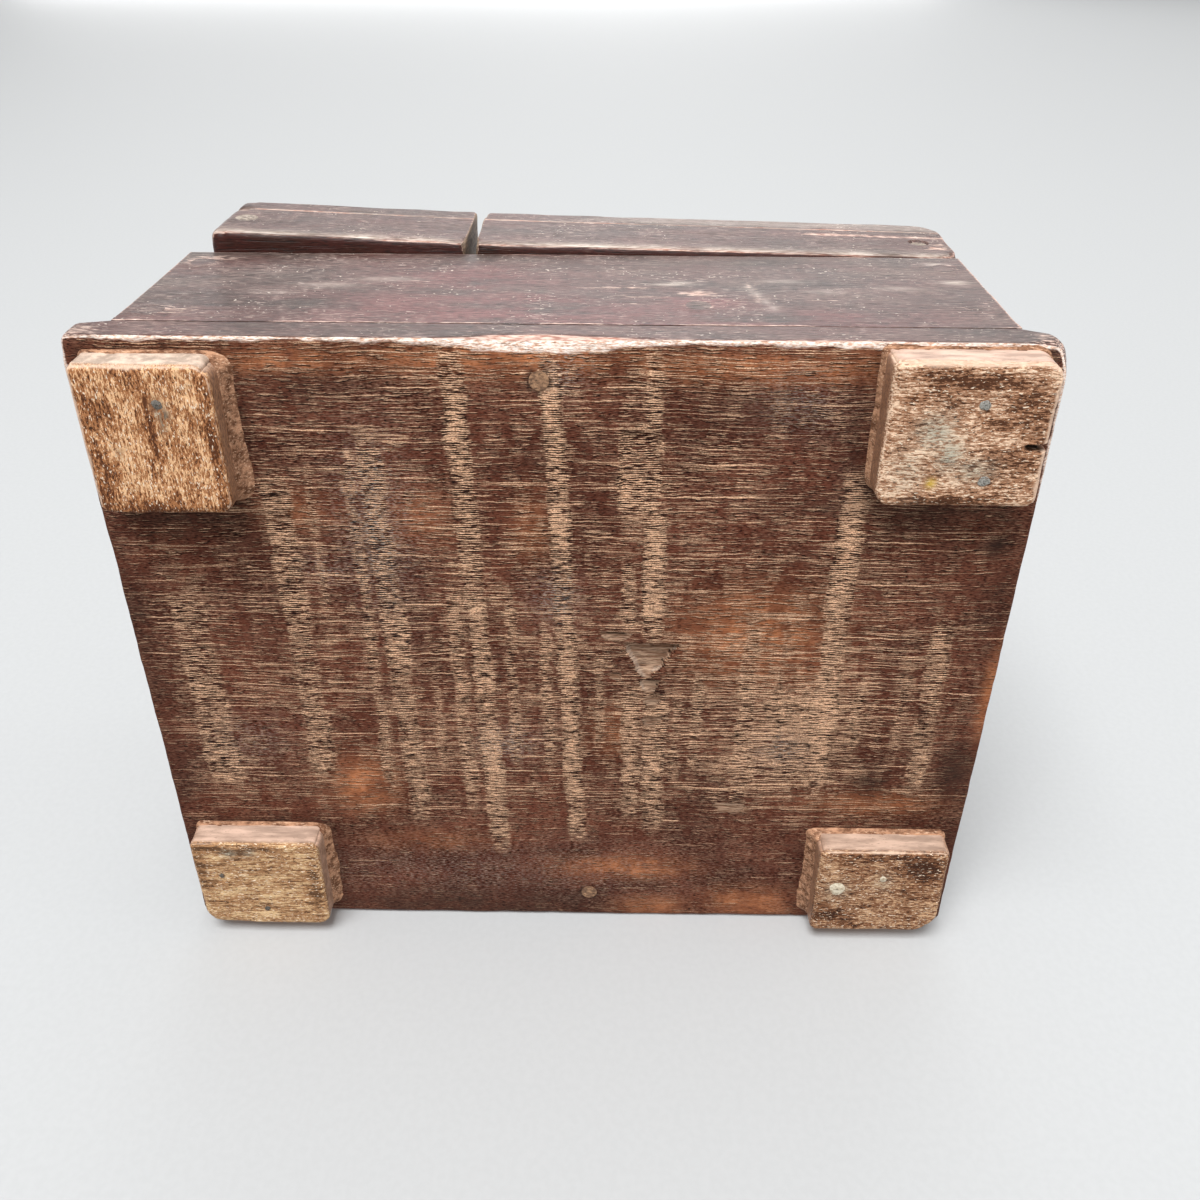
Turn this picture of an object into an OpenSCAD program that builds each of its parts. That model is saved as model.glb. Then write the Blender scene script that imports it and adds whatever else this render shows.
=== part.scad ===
// Antique shaving box: a pegged wooden case on four block feet, under a lid in two leaves.
// The rear leaf turns on two pins in the rear end wall and carries a mirror.
// The front leaf is hinged to the rear leaf and folds back over it.
// Millimetres, Z up. The origin is on the plane the feet stand on, under the middle of the box.
// X runs along the box to the free end of the lid, and Y to its right-hand side.

/* [Case] */
// Length of the bottom board, the longest size of the box
board_l = 220; // [195:1:250]
// Width of the bottom board, and of the case and lid on it
board_w = 178; // [155:1:200]
// Thickness of the bottom board
board_t = 10; // [7:0.5:14]
// Rounding of the bottom board's worn corners and lower edges
board_r = 2; // [0.5:0.5:3]
// How far the bottom board stands out past each end wall
end_overhang = 8.5; // [4:0.5:12]
// Height of the case walls above the bottom board
wall_h = 55.5; // [46:0.5:75]
// Thickness of the case walls
wall_t = 13; // [12:0.5:15]
// Rounding of the upright corners of the case
case_r = 1.5; // [0.5:0.5:3]

/* [Divider] */
// Distance of the divider's middle from the middle of the case, towards the rear
divider_offset = 30.5; // [10:0.5:40]
// Thickness of the divider
divider_t = 10; // [8:0.5:14]
// Height of the divider above the bottom board
divider_h = 28; // [20:1:40]

/* [Pegs] */
// Diameter of the pegs through the long sides
side_peg_d = 6; // [4:0.5:7]
// Distance of the upper corner pegs below the rim of the case
top_peg_drop = 10; // [7:0.5:16]
// Height of the lower pegs of the front corners above the bottom board
front_peg_rise = 7.5; // [5:0.5:16]
// Height of the lower pegs of the rear corners above the bottom board
rear_peg_rise = 15.5; // [5:0.5:18]
// Depth of a side peg in the board it holds
peg_depth = 12; // [8:1:16]
// Diameter of the pegs through the bottom board
bottom_peg_d = 4.5; // [3:0.5:4.5]
// Distance of a bottom peg from the long edge of the board
bottom_peg_inset = 9.5; // [6:0.5:9.5]
// Distance of a bottom peg from the middle of its long edge
bottom_peg_offset = 5.5; // [0:0.5:20]
// Depth of a bottom peg in the wall above the board
bottom_peg_depth = 15; // [8:1:20]

/* [Feet] */
// Thickness of the four feet
foot_t = 8.5; // [6:0.5:14]
// Rounding of the worn edges of the feet
foot_r = 2.5; // [1:0.5:4]
// Length of the front right foot along the box
front_right_foot_l = 31; // [24:0.5:45]
// Width of the front right foot across the box
front_right_foot_w = 36; // [24:0.5:45]
// Length of the rear right foot along the box
rear_right_foot_l = 36.5; // [24:0.5:45]
// Width of the rear right foot across the box
rear_right_foot_w = 34.5; // [24:0.5:45]
// Length of the front left foot along the box
front_left_foot_l = 36.5; // [24:0.5:45]
// Width of the front left foot across the box
front_left_foot_w = 32; // [24:0.5:45]
// Length of the rear left foot along the box
rear_left_foot_l = 36.5; // [24:0.5:45]
// Width of the rear left foot across the box
rear_left_foot_w = 32; // [24:0.5:45]
// Distance of the feet from the ends of the bottom board
foot_end_inset = 4; // [2:0.5:8]
// Distance of the front right foot from the right edge of the bottom board
front_right_foot_inset = 3.5; // [1:0.5:9]
// Distance of the rear right foot from the right edge of the bottom board
rear_right_foot_inset = 1; // [1:0.5:9]
// Distance of the left feet from the left edge of the bottom board
left_foot_inset = 3.5; // [1:0.5:9]

/* [Foot nails] */
// Diameter of a foot nail's shank
nail_d = 1.8; // [1.2:0.1:2.6]
// Diameter of a foot nail's head
nail_head_d = 3.6; // [3:0.1:5]
// Thickness of a foot nail's head
nail_head_h = 1.2; // [0.8:0.1:2]
// Length of a foot nail under its head
nail_l = 13; // [9:0.5:13.5]
// Front right foot's nail, along the box from the middle of the foot
front_right_nail_x = -3; // [-8:0.5:8]
// Front right foot's nail, across the box from the middle of the foot
front_right_nail_y = 9; // [-10:0.5:10]
// Rear right foot's outer nail, along the box from the middle of the foot
rear_right_outer_nail_x = -2.5; // [-10:0.5:10]
// Rear right foot's outer nail, across the box from the middle of the foot
rear_right_outer_nail_y = 7.5; // [0:0.5:10]
// Rear right foot's inner nail, along the box from the middle of the foot
rear_right_inner_nail_x = -5.5; // [-10:0.5:10]
// Rear right foot's inner nail, across the box from the middle of the foot
rear_right_inner_nail_y = -10.5; // [-11:0.5:-4]
// Front left foot's outer nail, along the box from the middle of the foot
front_left_outer_nail_x = -0.5; // [-10:0.5:4]
// Front left foot's outer nail, across the box from the middle of the foot
front_left_outer_nail_y = -9.5; // [-10:0.5:0]
// Front left foot's end nail, along the box from the middle of the foot
front_left_end_nail_x = 10.5; // [6:0.5:12]
// Front left foot's end nail, across the box from the middle of the foot
front_left_end_nail_y = 3.5; // [-10:0.5:10]
// Rear left foot's middle nail, along the box from the middle of the foot
rear_left_middle_nail_x = -0.5; // [-10:0.5:4]
// Rear left foot's middle nail, across the box from the middle of the foot
rear_left_middle_nail_y = 5.5; // [-10:0.5:10]
// Rear left foot's inner nail, along the box from the middle of the foot
rear_left_inner_nail_x = 12; // [8:0.5:12]
// Rear left foot's inner nail, across the box from the middle of the foot
rear_left_inner_nail_y = 1.5; // [-10:0.5:10]

/* [Lid] */
// Length of the front leaf
front_leaf_l = 67.5; // [50:0.5:85]
// Gap between the two leaves at the right-hand side
leaf_gap = 2.5; // [1.5:0.1:4]
// Distance of the lid's free end behind the outside of the front end wall
front_setback = 5.5; // [0:0.5:8]
// How far the lid stands out past the rear end wall
heel_lip = 0.5; // [0:0.1:1]
// Turn of the rear leaf in plan on its worn pin holes, in degrees
rear_skew = 1.25; // [0:0.05:1.5]
// Further turn of the front leaf in plan on its loose hinges, in degrees
front_skew = 0.95; // [0:0.05:1.2]
// Height of the lid's rails
rail_h = 24; // [21:0.5:30]
// Thickness of the lid's rails
rail_t = 13; // [10:0.5:15]
// Thickness of the lid's top boards
top_t = 9; // [8.5:0.5:14]
// Rounding of the upper long edges of the lid
lid_edge_r = 4; // [1:0.5:6]
// Rounding of the upper edge at the turning end of the lid
lid_heel_r = 8; // [3:0.5:8]
// Rounding of the upper edge at the free end of the lid
lid_front_r = 1.5; // [0.5:0.5:4]
// Height of the front leaf's corner pegs above the bottom of its rails
lid_peg_rise = 14; // [8:0.5:17]
// Seam between the closed lid and the rim of the case
seam_gap = 0.3; // [0.2:0.05:0.8]

/* [Turning pins] */
// Distance of the pins from the outside of the rear end wall
pivot_inset = 7.5; // [7:0.25:8]
// Height of the pins above the rim of the case
pivot_rise = 14; // [11:0.5:14.5]
// Diameter of the pins
pin_d = 4.4; // [3:0.2:5]
// Depth of a pin in the rear end wall
pin_depth = 12; // [8:1:20]
// How far the end of a pin lies below the face of its rail
pin_recess = 0.5; // [0.3:0.1:1]
// Gap at each side between the rear end wall's tongue and the rails
tongue_gap = 1; // [0.9:0.1:2]

/* [Mirror] */
// Thickness of the mirror glass
mirror_t = 2.5; // [1.5:0.1:4]
// Width of the beads that hold the glass
bead_w = 8; // [6:0.5:12]
// Height of the beads that hold the glass
bead_h = 6; // [5:0.5:8]
// Bevel along the inner edge of a bead
bead_bevel = 1.5; // [0.5:0.1:2]
// How far a bead laps over the glass
bead_lap = 2; // [1:0.1:3]
// Distance of the bead frame from the rails and the ends of the leaf
bead_margin = 4; // [4:0.5:10]
// Diameter of a bead nail
brad_d = 1.2; // [0.8:0.1:1.6]
// Diameter of a bead nail's head
brad_head_d = 2.2; // [1.8:0.1:3]
// Thickness of a bead nail's head
brad_head_h = 0.6; // [0.4:0.1:1]
// Depth of a bead nail in the top board
brad_depth = 3; // [2:0.5:3.5]
// Distance of a bead nail from the middle of its bead, as a share of the bead's length
brad_spread = 0.3; // [0.2:0.01:0.34]

/* [Leaf hinges] */
// Width of a hinge across the box
hinge_w = 24; // [18:1:36]
// Length of a hinge plate from the middle of its knuckles
plate_l = 14; // [11:0.5:20]
// Thickness of a hinge plate
plate_t = 1.2; // [0.8:0.1:1.4]
// Diameter of the knuckles
knuckle_d = 4; // [3.6:0.1:5]
// Gap between neighbouring knuckles
knuckle_gap = 0.4; // [0.3:0.05:0.8]
// Diameter of the hinge pins
hinge_pin_d = 2; // [1.4:0.1:2.4]
// Distance of each hinge's middle from the long edge of the lid
hinge_inset = 45; // [30:1:65]
// Diameter of a plate nail
tack_d = 1.4; // [1:0.1:1.8]
// Diameter of a plate nail's head
tack_head_d = 2.8; // [2.2:0.1:3.4]
// Height of a plate nail's head above the plate
tack_head_h = 0.4; // [0.3:0.05:0.5]
// Depth of a plate nail in the top board
tack_depth = 4.5; // [3:0.5:4.5]
// Distance of a plate nail from the middle of the knuckles, as a share of the plate's length
tack_along = 0.62; // [0.55:0.01:0.75]
// Distance of a plate nail from the middle of the hinge, as a share of the hinge's width
tack_across = 0.3; // [0.15:0.01:0.36]

/* [Fits] */
// Gap all round a peg, pin or nail that is fixed in its hole
fit_gap = 0.05; // [0.02:0.01:0.08]
// Gap all round a pin that something turns on
turn_gap = 0.06; // [0.03:0.01:0.1]
// Gap around the mirror glass in its beads
glass_gap = 0.2; // [0.1:0.05:0.5]
// Clear distance kept by edges that swing past another piece
swing_gap = 0.4; // [0.3:0.05:0.6]

/* [Hidden] */
$fn = 64;
// Extra length of a cutting solid, so that it passes right through
cut = 1;
// Reach of the blocks that cut away whole regions
reach = 60;

wall_l = board_l - 2 * end_overhang;
floor_z = foot_t + board_t;
rim_z = floor_z + wall_h;
inner_w = board_w - 2 * wall_t;
case_end = wall_l / 2;
case_side = board_w / 2;
corner_peg_x = case_end - wall_t / 2;

// The middle of each foot on the plane it stands on
function foot_x(end, l) = end * (board_l / 2 - foot_end_inset - l / 2);
function foot_y(side, inset, w) = side * (case_side - inset - w / 2);
front_right_mid = [foot_x(1, front_right_foot_l), foot_y(1, front_right_foot_inset, front_right_foot_w), 0];
rear_right_mid = [foot_x(-1, rear_right_foot_l), foot_y(1, rear_right_foot_inset, rear_right_foot_w), 0];
front_left_mid = [foot_x(1, front_left_foot_l), foot_y(-1, left_foot_inset, front_left_foot_w), 0];
rear_left_mid = [foot_x(-1, rear_left_foot_l), foot_y(-1, left_foot_inset, rear_left_foot_w), 0];

// The lid lies a little turned on the case, and the box is centred with the lid on it
rear_leaf_l = wall_l + heel_lip - front_setback - leaf_gap - front_leaf_l;
lid_reach = (rear_leaf_l + leaf_gap) * sin(rear_skew) + front_leaf_l * sin(rear_skew + front_skew);
side_shift = -lid_reach / 2;
heel_r = min(lid_heel_r, top_t - 1);

// The turning axis, and the tongue of the rear end wall that carries its pins
pivot_x = -case_end + pivot_inset;
pivot_z = rim_z + pivot_rise;
tongue_w = board_w - 2 * max(rail_t, wall_t) - 2 * tongue_gap;
pin_l = rail_t + tongue_gap + pin_depth;
rail_swing_r = pivot_rise - swing_gap;

// The frame of beads under the rear leaf, measured on the leaf
bead_x0 = wall_t + heel_lip + bead_margin;
bead_x1 = rear_leaf_l - bead_margin;
bead_y0 = -board_w + rail_t + bead_margin;
bead_y1 = -rail_t - bead_margin;
bead_z = rail_h - bead_h;
glass_edge = bead_w - bead_lap;
brad_inset = glass_edge / 2;

// The leaf hinges
knuckle_r = knuckle_d / 2;
knuckle_l = hinge_w / 3 - knuckle_gap;
tack_x = plate_l * tack_along;
tack_y = hinge_w * tack_across;

lacquer = [0.20, 0.10, 0.08];
board_brown = [0.36, 0.20, 0.14];
foot_tan = [0.55, 0.38, 0.22];
peg_tan = [0.45, 0.30, 0.18];
bare_wood = [0.50, 0.34, 0.21];
iron = [0.42, 0.40, 0.38];
brass = [0.60, 0.48, 0.22];
silvered_glass = [0.80, 0.84, 0.86];

// Plain shapes

// A rectangle with round corners, its lower left corner at the origin
module rounded_square(l, w, r) {
    translate([r, 0]) square([l - 2 * r, w]);
    translate([0, r]) square([l, w - 2 * r]);
    for (x = [r, l - r], y = [r, w - r]) {
        translate([x, y]) circle(r);
    }
}

// A block with round upright edges and round lower edges
module worn_block(l, w, t, r) {
    intersection() {
        linear_extrude(t) rounded_square(l, w, r);
        rotate([90, 0, 90]) linear_extrude(l) rounded_square(w, t + r, r);
        translate([0, w, 0]) rotate([90, 0, 0]) linear_extrude(w) rounded_square(l, t + r, r);
    }
}

// What is taken off an edge along Y to round it: the edge is the line x = 0, z = 0,
// and the block lies at positive x and negative z
module edge_round(w, r) {
    difference() {
        translate([-cut, -cut, -r]) cube([r + cut, w + 2 * cut, r + cut]);
        translate([r, -2 * cut, -r]) rotate([-90, 0, 0]) cylinder(r = r, h = w + 4 * cut);
    }
}

// A nail standing on its head at z = 0
module nail(head_d, head_h, shank_d, shank_l) {
    cylinder(d = head_d, h = head_h);
    translate([0, 0, head_h / 2]) cylinder(d = shank_d, h = head_h / 2 + shank_l);
}

// The space a nail is driven into, open below its head
module nail_hole(head_d, head_h, shank_d, shank_l) {
    translate([0, 0, -cut]) cylinder(d = head_d + 2 * fit_gap, h = head_h + cut);
    cylinder(d = shank_d + 2 * fit_gap, h = head_h + shank_l + fit_gap);
}

// Places

module in_place() {
    translate([0, side_shift, 0]) children();
}

// Both long sides, drawn once at the right-hand side
module both_sides() {
    for (side = [0, 1]) {
        mirror([0, side, 0]) children();
    }
}

// The rear leaf's own corner: right-hand side, turning end, bottom of the rails
module on_rear_leaf() {
    translate([-case_end - heel_lip, case_side, rim_z + seam_gap]) rotate([0, 0, rear_skew]) children();
}

// The front leaf's own corner: right-hand side, at the gap, bottom of the rails
module on_front_leaf() {
    on_rear_leaf() translate([rear_leaf_l + leaf_gap, 0, 0]) rotate([0, 0, front_skew]) children();
}

// A peg hole or peg runs along +Z of its place, inwards from the outer face
module at_corner_pegs() {
    both_sides() {
        for (p = [[1, wall_h - top_peg_drop], [1, front_peg_rise],
                  [-1, wall_h - top_peg_drop], [-1, rear_peg_rise]]) {
            translate([p.x * corner_peg_x, case_side, floor_z + p.y]) rotate([90, 0, 0]) children();
        }
    }
}

module at_divider_pegs() {
    both_sides() {
        translate([-divider_offset, case_side, floor_z + divider_h / 2]) rotate([90, 0, 0]) children();
    }
}

module at_bottom_pegs() {
    for (side = [1, -1]) {
        translate([side * bottom_peg_offset, side * (case_side - bottom_peg_inset), foot_t]) children();
    }
}

module at_turning_pins() {
    both_sides() {
        translate([pivot_x, case_side - pin_recess, pivot_z]) rotate([90, 0, 0]) children();
    }
}

module at_front_rail_pegs() {
    for (y = [0, -board_w]) {
        translate([front_leaf_l - rail_t / 2, y, lid_peg_rise]) {
            rotate([y == 0 ? 90 : -90, 0, 0]) children();
        }
    }
}

module at_foot_nails() {
    translate(front_right_mid) {
        translate([front_right_nail_x, front_right_nail_y, 0]) children();
    }
    translate(rear_right_mid) {
        translate([rear_right_outer_nail_x, rear_right_outer_nail_y, 0]) children();
        translate([rear_right_inner_nail_x, rear_right_inner_nail_y, 0]) children();
    }
    translate(front_left_mid) {
        translate([front_left_outer_nail_x, front_left_outer_nail_y, 0]) children();
        translate([front_left_end_nail_x, front_left_end_nail_y, 0]) children();
    }
    translate(rear_left_mid) {
        translate([rear_left_middle_nail_x, rear_left_middle_nail_y, 0]) children();
        translate([rear_left_inner_nail_x, rear_left_inner_nail_y, 0]) children();
    }
}

// On the rear leaf: two nails in each bead, from the face of the bead upwards
module at_bead_nails() {
    mid_x = (bead_x0 + bead_x1) / 2;
    mid_y = (bead_y0 + bead_y1) / 2;
    for (s = [-brad_spread, brad_spread], y = [bead_y0 + brad_inset, bead_y1 - brad_inset]) {
        translate([mid_x + s * (bead_x1 - bead_x0), y, bead_z]) children();
    }
    for (s = [-brad_spread, brad_spread], x = [bead_x0 + brad_inset, bead_x1 - brad_inset]) {
        translate([x, mid_y + s * (bead_y1 - bead_y0), bead_z]) children();
    }
}

// On the rear leaf: a hinge's own place, on the lid's top in the middle of the gap
module at_hinge(side) {
    y = side > 0 ? -hinge_inset : -board_w + hinge_inset;
    translate([rear_leaf_l + leaf_gap / 2, y, rail_h + top_t]) children();
}

// On a hinge: the nails of one plate, head up, driven downwards
module at_tacks(way) {
    for (y = [-tack_y, tack_y]) {
        translate([way * tack_x, y, plate_t + tack_head_h]) rotate([180, 0, 0]) children();
    }
}

module tack() {
    nail(tack_head_d, tack_head_h, tack_d, plate_t + tack_depth);
}

module tack_hole() {
    translate([0, 0, tack_head_h]) cylinder(d = tack_d + 2 * fit_gap, h = plate_t + tack_depth + fit_gap);
}

module all_tacks(way) {
    for (side = [1, -1]) {
        on_rear_leaf() at_hinge(side) at_tacks(way) children();
    }
}

// Holes

module corner_peg_holes() {
    at_corner_pegs() translate([0, 0, -cut]) {
        cylinder(d = side_peg_d + 2 * fit_gap, h = cut + wall_t + peg_depth + fit_gap);
    }
}

module divider_peg_holes() {
    at_divider_pegs() translate([0, 0, -cut]) {
        cylinder(d = side_peg_d + 2 * fit_gap, h = cut + wall_t + peg_depth + fit_gap);
    }
}

module bottom_peg_holes() {
    at_bottom_pegs() translate([0, 0, -cut]) {
        cylinder(d = bottom_peg_d + 2 * fit_gap, h = cut + board_t + bottom_peg_depth + fit_gap);
    }
}

module foot_nail_holes() {
    at_foot_nails() nail_hole(nail_head_d, nail_head_h, nail_d, nail_l);
}

// The glass with the gap around it, open to the top board above
module glass_space() {
    e = glass_edge - glass_gap;
    translate([bead_x0 + e, bead_y0 + e, rail_h - mirror_t - glass_gap]) {
        cube([bead_x1 - bead_x0 - 2 * e, bead_y1 - bead_y0 - 2 * e, mirror_t + glass_gap + cut]);
    }
}

// Everything below and behind the pins that would touch the case as the lid turns
module swing_clearance() {
    translate([pivot_x, 0, pivot_z]) difference() {
        translate([-reach, -board_w, -reach]) cube([reach, 2 * board_w, reach]);
        rotate([90, 0, 0]) cylinder(r = rail_swing_r, h = 3 * board_w, center = true);
    }
}

// Case

module bottom_board() {
    color(board_brown) in_place() difference() {
        translate([-board_l / 2, -case_side, foot_t]) worn_block(board_l, board_w, board_t, board_r);
        bottom_peg_holes();
        foot_nail_holes();
    }
}

// A long side, at the right, with round upright outer corners
module long_side() {
    intersection() {
        translate([-case_end, case_side - wall_t, floor_z]) cube([wall_l, wall_t, wall_h]);
        translate([-case_end, -case_side, floor_z]) {
            linear_extrude(wall_h) rounded_square(wall_l, board_w, case_r);
        }
    }
}

module right_side() {
    color(lacquer) in_place() difference() {
        long_side();
        corner_peg_holes();
        divider_peg_holes();
        bottom_peg_holes();
    }
}

module left_side() {
    color(lacquer) in_place() difference() {
        mirror([0, 1, 0]) long_side();
        corner_peg_holes();
        divider_peg_holes();
        bottom_peg_holes();
    }
}

module front_end() {
    color(lacquer) in_place() difference() {
        translate([case_end - wall_t, -inner_w / 2, floor_z]) cube([wall_t, inner_w, wall_h]);
        corner_peg_holes();
    }
}

// The rear end wall rises between the lid's rails as a tongue with a round outer edge
module rear_end() {
    color(lacquer) in_place() difference() {
        union() {
            translate([-case_end, -inner_w / 2, floor_z]) cube([wall_t, inner_w, wall_h]);
            translate([-case_end, -tongue_w / 2, floor_z]) cube([wall_t, tongue_w, wall_h + pivot_rise]);
            intersection() {
                translate([pivot_x, 0, pivot_z]) rotate([90, 0, 0]) {
                    cylinder(r = pivot_inset, h = tongue_w, center = true);
                }
                translate([-case_end, -tongue_w / 2, pivot_z - cut]) {
                    cube([wall_t, tongue_w, pivot_inset + 2 * cut]);
                }
            }
        }
        corner_peg_holes();
        at_turning_pins() cylinder(d = pin_d + 2 * fit_gap, h = pin_l + fit_gap);
    }
}

module divider() {
    color(bare_wood) in_place() difference() {
        translate([-divider_offset - divider_t / 2, -inner_w / 2, floor_z]) {
            cube([divider_t, inner_w, divider_h]);
        }
        divider_peg_holes();
    }
}

module side_pegs() {
    color(peg_tan) in_place() at_corner_pegs() cylinder(d = side_peg_d, h = wall_t + peg_depth);
}

module divider_pegs() {
    color(peg_tan) in_place() at_divider_pegs() cylinder(d = side_peg_d, h = wall_t + peg_depth);
}

module bottom_pegs() {
    color(peg_tan) in_place() at_bottom_pegs() cylinder(d = bottom_peg_d, h = board_t + bottom_peg_depth);
}

module turning_pins() {
    color(peg_tan) in_place() at_turning_pins() cylinder(d = pin_d, h = pin_l);
}

// Feet

module foot(mid, l, w) {
    color(foot_tan) in_place() difference() {
        translate(mid - [l / 2, w / 2, 0]) worn_block(l, w, foot_t, foot_r);
        foot_nail_holes();
    }
}

module front_right_foot() {
    foot(front_right_mid, front_right_foot_l, front_right_foot_w);
}

module front_left_foot() {
    foot(front_left_mid, front_left_foot_l, front_left_foot_w);
}

module rear_right_foot() {
    foot(rear_right_mid, rear_right_foot_l, rear_right_foot_w);
}

module rear_left_foot() {
    foot(rear_left_mid, rear_left_foot_l, rear_left_foot_w);
}

module foot_nails() {
    color(iron) in_place() at_foot_nails() nail(nail_head_d, nail_head_h, nail_d, nail_l);
}

// Rear leaf of the lid

// A top board with round upper long edges
module lid_top(l) {
    intersection() {
        translate([0, -board_w, rail_h]) cube([l, board_w, top_t]);
        translate([0, -board_w, rail_h - lid_edge_r]) rotate([90, 0, 90]) {
            linear_extrude(l) rounded_square(board_w, top_t + lid_edge_r, lid_edge_r);
        }
    }
}

module rear_top() {
    color(lacquer) in_place() difference() {
        on_rear_leaf() difference() {
            lid_top(rear_leaf_l);
            translate([0, -board_w, rail_h + top_t]) edge_round(board_w, heel_r);
            at_bead_nails() cylinder(d = brad_d + 2 * fit_gap, h = bead_h + brad_depth + fit_gap);
        }
        all_tacks(-1) tack_hole();
    }
}

// A rail of the rear leaf, bored for its pin and rounded to swing over the case
module rear_rail(y) {
    color(lacquer) in_place() difference() {
        on_rear_leaf() translate([0, y, 0]) cube([rear_leaf_l, rail_t, rail_h]);
        swing_clearance();
        at_turning_pins() {
            translate([0, 0, -rail_t]) cylinder(d = pin_d + 2 * turn_gap, h = pin_l + rail_t);
        }
    }
}

module rear_right_rail() {
    rear_rail(-rail_t);
}

module rear_left_rail() {
    rear_rail(-board_w);
}

module mirror_glass() {
    color(silvered_glass) in_place() on_rear_leaf() {
        translate([bead_x0 + glass_edge, bead_y0 + glass_edge, rail_h - mirror_t]) {
            cube([bead_x1 - bead_x0 - 2 * glass_edge, bead_y1 - bead_y0 - 2 * glass_edge, mirror_t]);
        }
    }
}

// A bead along X, its outer edge at y = 0 and its face downwards
module bead(l) {
    rotate([90, 0, 90]) linear_extrude(l) polygon([
        [0, 0], [bead_w - bead_bevel, 0], [bead_w, bead_bevel], [bead_w, bead_h], [0, bead_h]
    ]);
}

// A bead in its place on the leaf, rebated for the glass and bored for its nails
module fitted_bead() {
    color(bare_wood) in_place() on_rear_leaf() difference() {
        children();
        glass_space();
        at_bead_nails() nail_hole(brad_head_d, brad_head_h, brad_d, bead_h + brad_depth - brad_head_h);
    }
}

module front_bead() {
    fitted_bead() translate([bead_x1, bead_y0 + bead_w, bead_z]) {
        rotate([0, 0, 90]) bead(bead_y1 - bead_y0 - 2 * bead_w);
    }
}

module rear_bead() {
    fitted_bead() translate([bead_x0, bead_y1 - bead_w, bead_z]) {
        rotate([0, 0, -90]) bead(bead_y1 - bead_y0 - 2 * bead_w);
    }
}

module right_bead() {
    fitted_bead() translate([bead_x0, bead_y1, bead_z]) mirror([0, 1, 0]) bead(bead_x1 - bead_x0);
}

module left_bead() {
    fitted_bead() translate([bead_x0, bead_y0, bead_z]) bead(bead_x1 - bead_x0);
}

module bead_nails() {
    color(iron) in_place() on_rear_leaf() at_bead_nails() {
        nail(brad_head_d, brad_head_h, brad_d, bead_h + brad_depth - brad_head_h);
    }
}

// Front leaf of the lid

module front_top() {
    color(lacquer) in_place() difference() {
        on_front_leaf() difference() {
            lid_top(front_leaf_l);
            translate([front_leaf_l, 0, rail_h + top_t]) rotate([0, 0, 180]) edge_round(board_w, lid_front_r);
        }
        all_tacks(1) tack_hole();
    }
}

module front_rail_peg_holes() {
    at_front_rail_pegs() translate([0, 0, -cut]) {
        cylinder(d = side_peg_d + 2 * fit_gap, h = cut + rail_t + peg_depth + fit_gap);
    }
}

module front_rail(y) {
    color(lacquer) in_place() on_front_leaf() difference() {
        translate([0, y, 0]) cube([front_leaf_l, rail_t, rail_h]);
        front_rail_peg_holes();
    }
}

module front_right_rail() {
    front_rail(-rail_t);
}

module front_left_rail() {
    front_rail(-board_w);
}

module front_end_rail() {
    color(lacquer) in_place() on_front_leaf() difference() {
        translate([front_leaf_l - rail_t, -board_w + rail_t, 0]) cube([rail_t, board_w - 2 * rail_t, rail_h]);
        front_rail_peg_holes();
    }
}

module front_rail_pegs() {
    color(peg_tan) in_place() on_front_leaf() at_front_rail_pegs() {
        cylinder(d = side_peg_d, h = rail_t + peg_depth);
    }
}

// Leaf hinges

// One plate of a hinge, lying towards -X: outer knuckles for "outer", the middle one otherwise
module hinge_plate(outer) {
    third = hinge_w / 3;
    spots = outer ? [-third, third] : [0];
    free_spots = outer ? [0] : [-third, third];
    difference() {
        union() {
            translate([-plate_l, -hinge_w / 2, 0]) cube([plate_l, hinge_w, plate_t]);
            for (y = spots) {
                translate([0, y, knuckle_r]) rotate([90, 0, 0]) {
                    cylinder(d = knuckle_d, h = knuckle_l, center = true);
                }
            }
        }
        for (y = free_spots) {
            translate([-knuckle_r - swing_gap, y - third / 2 - knuckle_gap / 2, -cut]) {
                cube([knuckle_d, third + knuckle_gap, knuckle_d]);
            }
        }
        translate([0, 0, knuckle_r]) rotate([90, 0, 0]) {
            cylinder(d = hinge_pin_d + 2 * turn_gap, h = hinge_w + 2 * cut, center = true);
        }
        at_tacks(-1) tack_hole();
    }
}

module rear_plate(side) {
    color(brass) in_place() on_rear_leaf() at_hinge(side) hinge_plate(true);
}

module front_plate(side) {
    color(brass) in_place() on_rear_leaf() at_hinge(side) mirror([1, 0, 0]) hinge_plate(false);
}

module hinge_pin(side) {
    color(iron) in_place() on_rear_leaf() at_hinge(side) translate([0, 0, knuckle_r]) {
        rotate([90, 0, 0]) cylinder(d = hinge_pin_d, h = hinge_w, center = true);
    }
}

module right_hinge_rear_plate() {
    rear_plate(1);
}

module right_hinge_front_plate() {
    front_plate(1);
}

module right_hinge_pin() {
    hinge_pin(1);
}

module left_hinge_rear_plate() {
    rear_plate(-1);
}

module left_hinge_front_plate() {
    front_plate(-1);
}

module left_hinge_pin() {
    hinge_pin(-1);
}

module rear_plate_nails() {
    color(iron) in_place() all_tacks(-1) tack();
}

module front_plate_nails() {
    color(iron) in_place() all_tacks(1) tack();
}

bottom_board();
right_side();
left_side();
front_end();
rear_end();
divider();
side_pegs();
divider_pegs();
bottom_pegs();
turning_pins();
front_right_foot();
front_left_foot();
rear_right_foot();
rear_left_foot();
foot_nails();
rear_top();
rear_right_rail();
rear_left_rail();
mirror_glass();
front_bead();
rear_bead();
right_bead();
left_bead();
bead_nails();
front_top();
front_right_rail();
front_left_rail();
front_end_rail();
front_rail_pegs();
right_hinge_rear_plate();
right_hinge_front_plate();
right_hinge_pin();
left_hinge_rear_plate();
left_hinge_front_plate();
left_hinge_pin();
rear_plate_nails();
front_plate_nails();
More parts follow.
